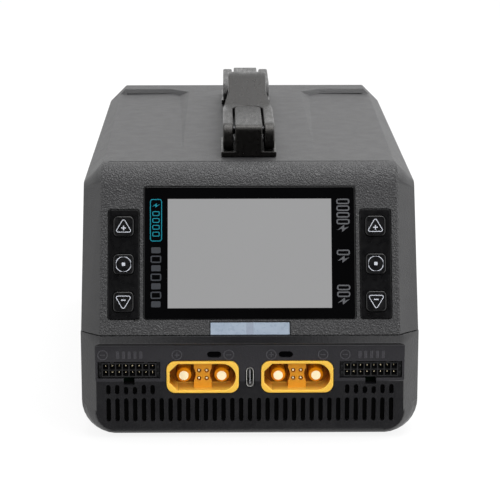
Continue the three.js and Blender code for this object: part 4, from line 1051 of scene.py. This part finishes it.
def build_balance_headers():
    tip_highlight_look = bpy.data.materials["contact_tip_highlight"]
    body_look = satin("header_plastic", (0.012, 0.012, 0.013), 0.4, specular=0.4).material
    for side in SIDES:
        at = build_header_body(side, body_look)
        pins = f"{side}_balance_pins"
        low, high, _ = local_box(pins, PANEL)
        bm = bmesh.new()
        add_plate(bm, rectangle(at.x, at.y, *HEADER_CARRIER), low.z, low.z + CARRIER_DEPTH, edge=0.1)
        for x, y in header_cells(at):
            pin = rectangle(x, y, BALANCE_PIN, BALANCE_PIN, 0.1, 2)
            add_plate(bm, pin, low.z + 1, high.z, edge=0.22)
        piece(f"{side}_balance_contacts", bm, PANEL, look_of(pins), pins)
        # Pale squares on the pins' ends: a painted highlight.
        bm = bmesh.new()
        for x, y in header_cells(at):
            tip = rectangle(x, y, BALANCE_TIP, BALANCE_TIP, 0.1, 2)
            add_plate(bm, tip, high.z - 0.1, high.z + 0.08, edge=0.06)
        piece(f"{side}_balance_tips", bm, PANEL, tip_highlight_look, pins, stands=False)


USB_WALL = 0.28
USB_TONGUE = (0.8, 6.6)


def build_usb():
    low, high, at = local_box("usb_shell", PANEL)
    width, height = high.x - low.x, high.y - low.y
    outer, inner = [
        rectangle(at.x, at.y, width - 2 * wall, height - 2 * wall, width / 2 - wall - 0.02, 10)
        for wall in (0, USB_WALL)
    ]
    bright = metal("bright_steel", (0.72, 0.71, 0.68), 0.4)
    bright.set("Metallic", 0.75)
    name, node = "usb_receptacle_shell", "usb_shell"
    plate_piece(name, PANEL, bright.material, node, outer, low.z, high.z, [inner], edge=0.12)
    low, high, _ = local_box("usb_tongue", PANEL)
    tongue = rectangle(at.x, at.y, *USB_TONGUE, 0.2, 3)
    contact = metal("contact_steel", (0.8, 0.8, 0.84), 0.4).material
    name, node = "usb_receptacle_tongue", "usb_tongue"
    plate_piece(name, PANEL, contact, node, tongue, low.z, high.z, edge=0.15)


# The polarity marks stand in a row over the sockets: place across, and the sign they show.
MARKS = ((-65.9, "-"), (-32.7, "+"), (-9.5, "-"), (9.5, "+"), (32.7, "-"), (42.6, "-"))
CELL_MARKS = (-54.0, 54.4)  # rows of battery cells over the balance headers
CELL_MARK = {"width": 1.3, "height": 3.4, "pitch": 2.6, "count": 5}
MARK_Z = 38.5
MARK_RADIUS = 2.15
MARK_LINE = 0.45
MARK_SIGN = 2.3
MARK_ARM = {"from": 0.68, "height": 0.94}
MARK_HEIGHT = 0.3
PILOT = {"x": 16, "z": 38.6, "width": 6.3, "height": 2.8, "radius": 1.35}
PILOT_DEPTH = (2.3, 1.0)  # the back and the front of the lenses, behind the panel's face


def build_panel_marks():
    """Raised marks: a ring with a plus or a minus, and rows of cells, coloured paler than the panel as a painted
    highlight.
    """
    surface = -connector_panel_y()
    low, high = surface - 0.1, surface + MARK_HEIGHT
    bm = bmesh.new()
    for x, sign in MARKS:
        ring = ring_points(x, MARK_Z, MARK_RADIUS, 32)
        outer = inset(ring, -MARK_LINE / 2)
        add_plate(bm, outer, low, high, [inset(ring, MARK_LINE / 2)], edge=0.1, steps=2)
        add_plate(bm, rectangle(x, MARK_Z, MARK_SIGN, MARK_LINE), low, high, edge=0.1, steps=2)
        if sign == "+":
            for up in (-1, 1):
                arm = rectangle(x, MARK_Z + up * MARK_ARM["from"], MARK_LINE, MARK_ARM["height"])
                add_plate(bm, arm, low, high, edge=0.1, steps=2)
    # The marks are moulded in the panel; their paler colour is a painted highlight.
    raised = moulded("raised_marks_highlight", shade(PANEL_GREY, 1.9), 0.35, 0.8, 0.02, specular=0.7)
    for x in CELL_MARKS:
        for i in range(CELL_MARK["count"]):
            cell_x = x + (i - (CELL_MARK["count"] - 1) / 2) * CELL_MARK["pitch"]
            cell = rectangle(cell_x, MARK_Z, CELL_MARK["width"], CELL_MARK["height"], 0.3, 3)
            add_plate(bm, cell, low, high, edge=0.12, steps=2)
    piece("panel_polarity_marks", bm, PANEL, raised.material, "lower_shell", stands=False)
    build_pilot_lenses(surface)


def build_pilot_lenses(surface):
    """A smoked lens sunk in each pilot slot."""
    back, front = [surface - depth for depth in PILOT_DEPTH]
    bm = bmesh.new()
    for side in (-1, 1):
        lens = rectangle(side * PILOT["x"], PILOT["z"], PILOT["width"], PILOT["height"], PILOT["radius"])
        add_plate(bm, lens, back, front, edge=0.2)
    piece("pilot_lenses", bm, PANEL, look_of("display_window"), "lower_shell", stands=False)


PANEL_Y = -128.7  # roughly where the connector panel's face is


def connector_panel_y():
    """The connector panel's face: the shell's flat face around the marks, in millimetres."""
    found = []
    for polygon in NODES["lower_shell"].data.polygons:
        centre = polygon.center / MM
        faces_front = polygon.normal.y < -0.99 and centre.y < -100
        if faces_front and abs(centre.z - MARK_Z) < 6:
            found.append(centre.y)
    return min(found, key=lambda y: abs(y - PANEL_Y))


# ---- handle

PIN_PLAY = 5  # how far under a pin its slot may reach


def in_pin_slot(edge):
    """Whether an edge of the handle lies on the tall slot round one of its pins."""
    centre = (edge.verts[0].co + edge.verts[1].co) / 2 / MM
    for place in ("front", "rear"):
        low, high, _ = local_box(f"{place}_handle_pin", TOP)
        if low.y - 1 < centre.y < high.y + 1 and low.z - PIN_PLAY < centre.z < high.z + 1:
            return True
    return False


def build_handle():
    softened("carrying_handle", "handle_grip", 0.7, 3, angle=32, spare=in_pin_slot)
    for place in ("front", "rear"):
        softened(f"{place}_handle_bracket", f"{place}_handle_mount", 0.45, 3)
        softened(f"{place}_handle_pivot", f"{place}_handle_pin", 0.25)


# ---- rear

REAR_PIECES = (
    ("rear_plate", "rear_panel", 0.35),
    ("mains_inlet", "ac_inlet", 0.4),
    ("mains_blades", "inlet_pins", 0.3),
    ("switch_housing", "power_switch_housing", 0.35),
    ("switch_rocker", "power_switch_rocker", 0.4),
)


def build_rear():
    for name, node, width in REAR_PIECES:
        softened(name, node, width)
    for side in SIDES:
        softened(f"{side}_fan_shroud", f"{side}_fan_frame", 0.5)
        build_fan_rotor(side)


BLADES = 7
FAN_HUB_RADIUS = 11.8
FAN_TIP_RADIUS = 26.3
FAN_SHAFT_RADIUS = 1.5


def build_fan_rotor(side):
    node = f"{side}_fan_rotor"
    low, high, _ = local_box(node, REAR)
    axis = REAR.inverted() @ joint_place(f"{side}_fan_spin")
    hub, shaft = FAN_HUB_RADIUS, FAN_SHAFT_RADIUS
    back, front = low.z + 2.4, high.z
    rim = [(0, back), (hub, back), (hub, front - 1.2), (hub - 0.35, front - 0.35), (hub - 1.2, front)]
    dimple = [(4, front), (3.6, front - 0.3), (0, front - 0.3)]
    bm = bmesh.new()
    add_lathe(bm, rim + dimple, axis.x, axis.y, 48)
    add_lathe(bm, [(0, low.z), (shaft, low.z), (shaft, back + 0.5), (0, back + 0.5)], axis.x, axis.y, 16)
    centre = Vector((axis.x, axis.y, (back + front) / 2))
    for i in range(BLADES):
        add_blade(bm, centre, hub - 1, FAN_TIP_RADIUS, 2 * math.pi * i / BLADES)
    piece(f"{side}_fan_impeller", bm, REAR, look_of(node), node)


BLADE_PITCH = (46, 30)  # degrees, at the root and at the tip
BLADE_CHORD = (11.5, 14.5)
BLADE_HALF_THICKNESS = (0.75, 0.4)
BLADE_CAMBER = 1.1
BLADE_SWEEP = 0.28
BLADE_SLOPE = 0.62  # how much of a blade's rise is left, so that it fits between hub and frame
BLADE_SET_BACK = 0.6


def between(ends, share):
    return ends[0] + (ends[1] - ends[0]) * share


def add_blade(bm, centre, root, tip, turn):
    """A swept, twisted blade, thicker at its root."""
    rows, columns = 6, 8
    sheets = []
    for face in (-1, 1):
        grid = []
        for r in range(rows + 1):
            share = r / rows
            radius = between((root, tip), share)
            pitch = math.radians(between(BLADE_PITCH, share))
            chord = between(BLADE_CHORD, share)
            line = []
            for c in range(columns + 1):
                u = c / columns - 0.5
                camber = BLADE_CAMBER * (1 - 4 * u * u)
                thick = between(BLADE_HALF_THICKNESS, share) * math.sqrt(max(0.02, 1 - 4 * u * u))
                across = u * chord * math.cos(pitch)
                along = u * chord * math.sin(pitch) * BLADE_SLOPE + camber + face * thick
                angle = turn + BLADE_SWEEP * share * share + across / radius
                x = centre.x + radius * math.cos(angle)
                y = centre.y + radius * math.sin(angle)
                line.append(bm.verts.new((x, y, centre.z + along - BLADE_SET_BACK)))
            grid.append(line)
        sheets.append(grid)
    lower, upper = sheets
    for r in range(rows):
        for c in range(columns):
            for grid in sheets:
                bm.faces.new((grid[r][c], grid[r][c + 1], grid[r + 1][c + 1], grid[r + 1][c]))
        for c in (0, columns):
            bm.faces.new((lower[r][c], lower[r + 1][c], upper[r + 1][c], upper[r][c]))
    for c in range(columns):
        for r in (0, rows):
            bm.faces.new((lower[r][c], lower[r][c + 1], upper[r][c + 1], upper[r][c]))


SWITCH_BAR = (0.8, 4.5)
SWITCH_RING = {"radius": 2.1, "line": 0.7}
SWITCH_MARK = (-0.1, 0.15)  # its underside and top, over the rocker's face
HINGE_RISE = 4 * math.cos(0.1)  # from the rocker's axis to the line where its two faces meet


def build_switch_marks():
    """The on and off signs moulded in the rocker: a bar and a ring."""
    node = "power_switch_rocker"
    points = [v.co / MM for v in NODES[node].data.vertices]
    axis = joint_place("power_switch_rock")
    hinge = axis + Vector((0, HINGE_RISE, 0))
    for name, end in (("on", 1), ("off", -1)):
        tips = [p for p in points if (p.z - axis.z) * end > 6 and p.y > axis.y + 1]
        outer = max(tips, key=lambda p: p.y)
        outer.x = axis.x
        along = (outer - hinge).normalized() * end
        normal = Vector((1, 0, 0)).cross(along).normalized()
        if normal.y < 0:
            normal.negate()
        rotation = Matrix((along.cross(normal), along, normal)).transposed().to_4x4()
        place = Matrix.Translation((outer + hinge) / 2 * MM) @ rotation
        bm = bmesh.new()
        if name == "on":
            add_plate(bm, rectangle(0, 0, *SWITCH_BAR, 0.1, 2), *SWITCH_MARK, edge=0.05, steps=1)
        else:
            add_stroke(bm, ring_points(0, 0, SWITCH_RING["radius"]), SWITCH_RING["line"], *SWITCH_MARK)
        piece(f"switch_{name}_mark", bm, place, LEGEND_INK, node, stands=False)


# ---- underside


def build_underside():
    for corner in CORNERS:
        node = f"{corner}_foot"
        low, high, at = local_box(node, TOP)
        radius = (high.x - low.x) / 2
        profile = [
            (0, 0.45),
            (radius - 2.6, 0.4),
            (radius - 1.8, 0.0),
            (radius - 0.8, 0.0),
            (radius - 0.25, 0.25),
            (radius, 0.8),
            (radius, high.z),
            (0, high.z),
        ]
        turned_piece(f"{corner}_rubber_foot", TOP, look_of(node), node, profile, at.x, at.y, 48)
        softened(f"{corner}_screw", f"{corner}_case_screw", 0.2)


# ---- stage

FLOOR_HALF_SIZE = 4
FLOOR_HEIGHT = -0.0002


def build_stage():
    bm = bmesh.new()
    bmesh.ops.create_grid(bm, x_segments=1, y_segments=1, size=FLOOR_HALF_SIZE)
    mesh = bpy.data.meshes.new("floor")
    bm.to_mesh(mesh)
    bm.free()
    floor = bpy.data.objects.new("floor", mesh)
    bpy.context.scene.collection.objects.link(floor)
    floor.location.z = FLOOR_HEIGHT
    mesh.materials.append(floor_material())
    floor.visible_glossy = False


FLOOR_BOUNCE = 0.08  # how much light the floor returns to the object
FLOOR_WHITE = 0.86  # how far the floor that the camera sees is lifted to plain white


def floor_material():
    """A pale floor that keeps a faint contact shadow and returns little light to the object."""
    material = bpy.data.materials.new("studio_floor")
    tree = Tree(material)
    shader = tree.nodes["Principled BSDF"]
    matt = {"Base Color": (0.9, 0.9, 0.9, 1), "Roughness": 0.9, "Specular IOR Level": 0.1}
    for name, value in matt.items():
        tree.feed(shader.inputs[name], value)
    white = tree.add("Emission").outputs["Emission"]
    inputs = {"Fac": FLOOR_WHITE, 1: shader.outputs["BSDF"], 2: white}
    lifted = tree.add("MixShader", inputs).outputs["Shader"]
    dim = tree.add("BsdfDiffuse", {"Color": (FLOOR_BOUNCE, FLOOR_BOUNCE, FLOOR_BOUNCE, 1)}).outputs["BSDF"]
    seen = tree.add("LightPath").outputs["Is Camera Ray"]
    surface = tree.add("MixShader", {"Fac": seen, 1: dim, 2: lifted}).outputs["Shader"]
    tree.feed(tree.nodes["Material Output"].inputs["Surface"], surface)
    return material


FLAG_WIDTH = (0.2, 0.62)  # sideways parts of a direction where the flag starts and stops fading
FLAG_DEPTH = (0.35, 0.85)  # the same, for its forward part
STUDIO_LEVELS = (0.92, 1.22)  # on the left and on the right
SIDE_WALLS = (0.45, 0.85, 1.4)  # where the brighter side walls start and end, and their level
FLAG_LEVEL = 0.01


def build_world():
    """A white studio with one dark flag in front, so that glossy faces that look back stay black."""
    world = bpy.data.worlds.new("studio")
    bpy.context.scene.world = world
    tree = Tree(world)

    def faded(value, start, end, low, high):
        return tree.spread(value, low, high, start, end, "SMOOTHSTEP")

    direction = tree.add("TexCoord").outputs["Generated"]
    parts = tree.add("SeparateXYZ", {"Vector": direction}).outputs
    sideways = tree.add("Math", {0: parts["X"]}, operation="ABSOLUTE").outputs["Value"]
    narrow = faded(sideways, *FLAG_WIDTH, 1.0, 0.0)
    forward = faded(parts["Y"], -FLAG_DEPTH[1], -FLAG_DEPTH[0], 1.0, 0.0)
    level = faded(tree.product(narrow, forward), 0.0, 1.0, 1.0, FLAG_LEVEL)
    side = faded(parts["X"], -1.0, 1.0, *STUDIO_LEVELS)
    walls = faded(sideways, SIDE_WALLS[0], SIDE_WALLS[1], 1.0, SIDE_WALLS[2])
    strength = tree.product(level, tree.product(side, walls))
    light = tree.nodes["Background"]
    tree.feed(light.inputs["Color"], (1, 1, 1, 1))
    tree.feed(light.inputs["Strength"], strength)
    backdrop = tree.add("Background", {"Color": (1, 1, 1, 1)}).outputs["Background"]
    seen = tree.add("LightPath").outputs["Is Camera Ray"]
    inputs = {"Fac": seen, 1: light.outputs["Background"], 2: backdrop}
    surface = tree.add("MixShader", inputs).outputs["Shader"]
    tree.feed(tree.nodes["World Output"].inputs["Surface"], surface)


def add_area_light(name, location, target, size, energy, mirrored=True):
    light = bpy.data.lights.new(name, "AREA")
    light.shape = "DISK"
    light.size = size
    light.energy = energy
    obj = bpy.data.objects.new(name, light)
    obj.location = location
    obj.visible_glossy = mirrored
    aim = Vector(target) - Vector(location)
    obj.rotation_euler = aim.to_track_quat("-Z", "Y").to_euler()
    bpy.context.scene.collection.objects.link(obj)


CAMERA_PLACE = (-10.74, -1010.8, 296.8)  # millimetres
CAMERA_PITCH = math.radians(13.4)
CAMERA_YAW = math.radians(0.698)
CAMERA_LENS = 147.8


def build_camera():
    data = bpy.data.cameras.new("camera")
    data.sensor_width = 36
    data.lens = CAMERA_LENS
    camera = bpy.data.objects.new("camera", data)
    camera.location = Vector(CAMERA_PLACE) * MM
    camera.rotation_euler = (math.pi / 2 - CAMERA_PITCH, 0, -CAMERA_YAW)
    bpy.context.scene.collection.objects.link(camera)
    bpy.context.scene.camera = camera


def paint_inner_nodes():
    """Nodes that keep their CAD shape take their slot's material."""
    for node, obj in NODES.items():
        obj.data.materials.clear()
        obj.data.materials.append(look_of(node))


paint_inner_nodes()
build_case()
build_window()
build_window_prints()
build_light_bar()
build_keypads()
build_output_connectors()
build_balance_headers()
build_usb()
build_panel_marks()
build_handle()
build_rear()
build_switch_marks()
build_underside()
build_stage()
build_world()
add_area_light("overhead", (0.25, 0.15, 1.3), target=(0, 0, 0.1), size=1.2, energy=15)
add_area_light("front_fill", (0.1, -1.3, 0.35), target=(0, -0.1, 0.06), size=0.35, energy=8, mirrored=False)
build_camera()
bpy.context.scene.view_settings.view_transform = "Standard"
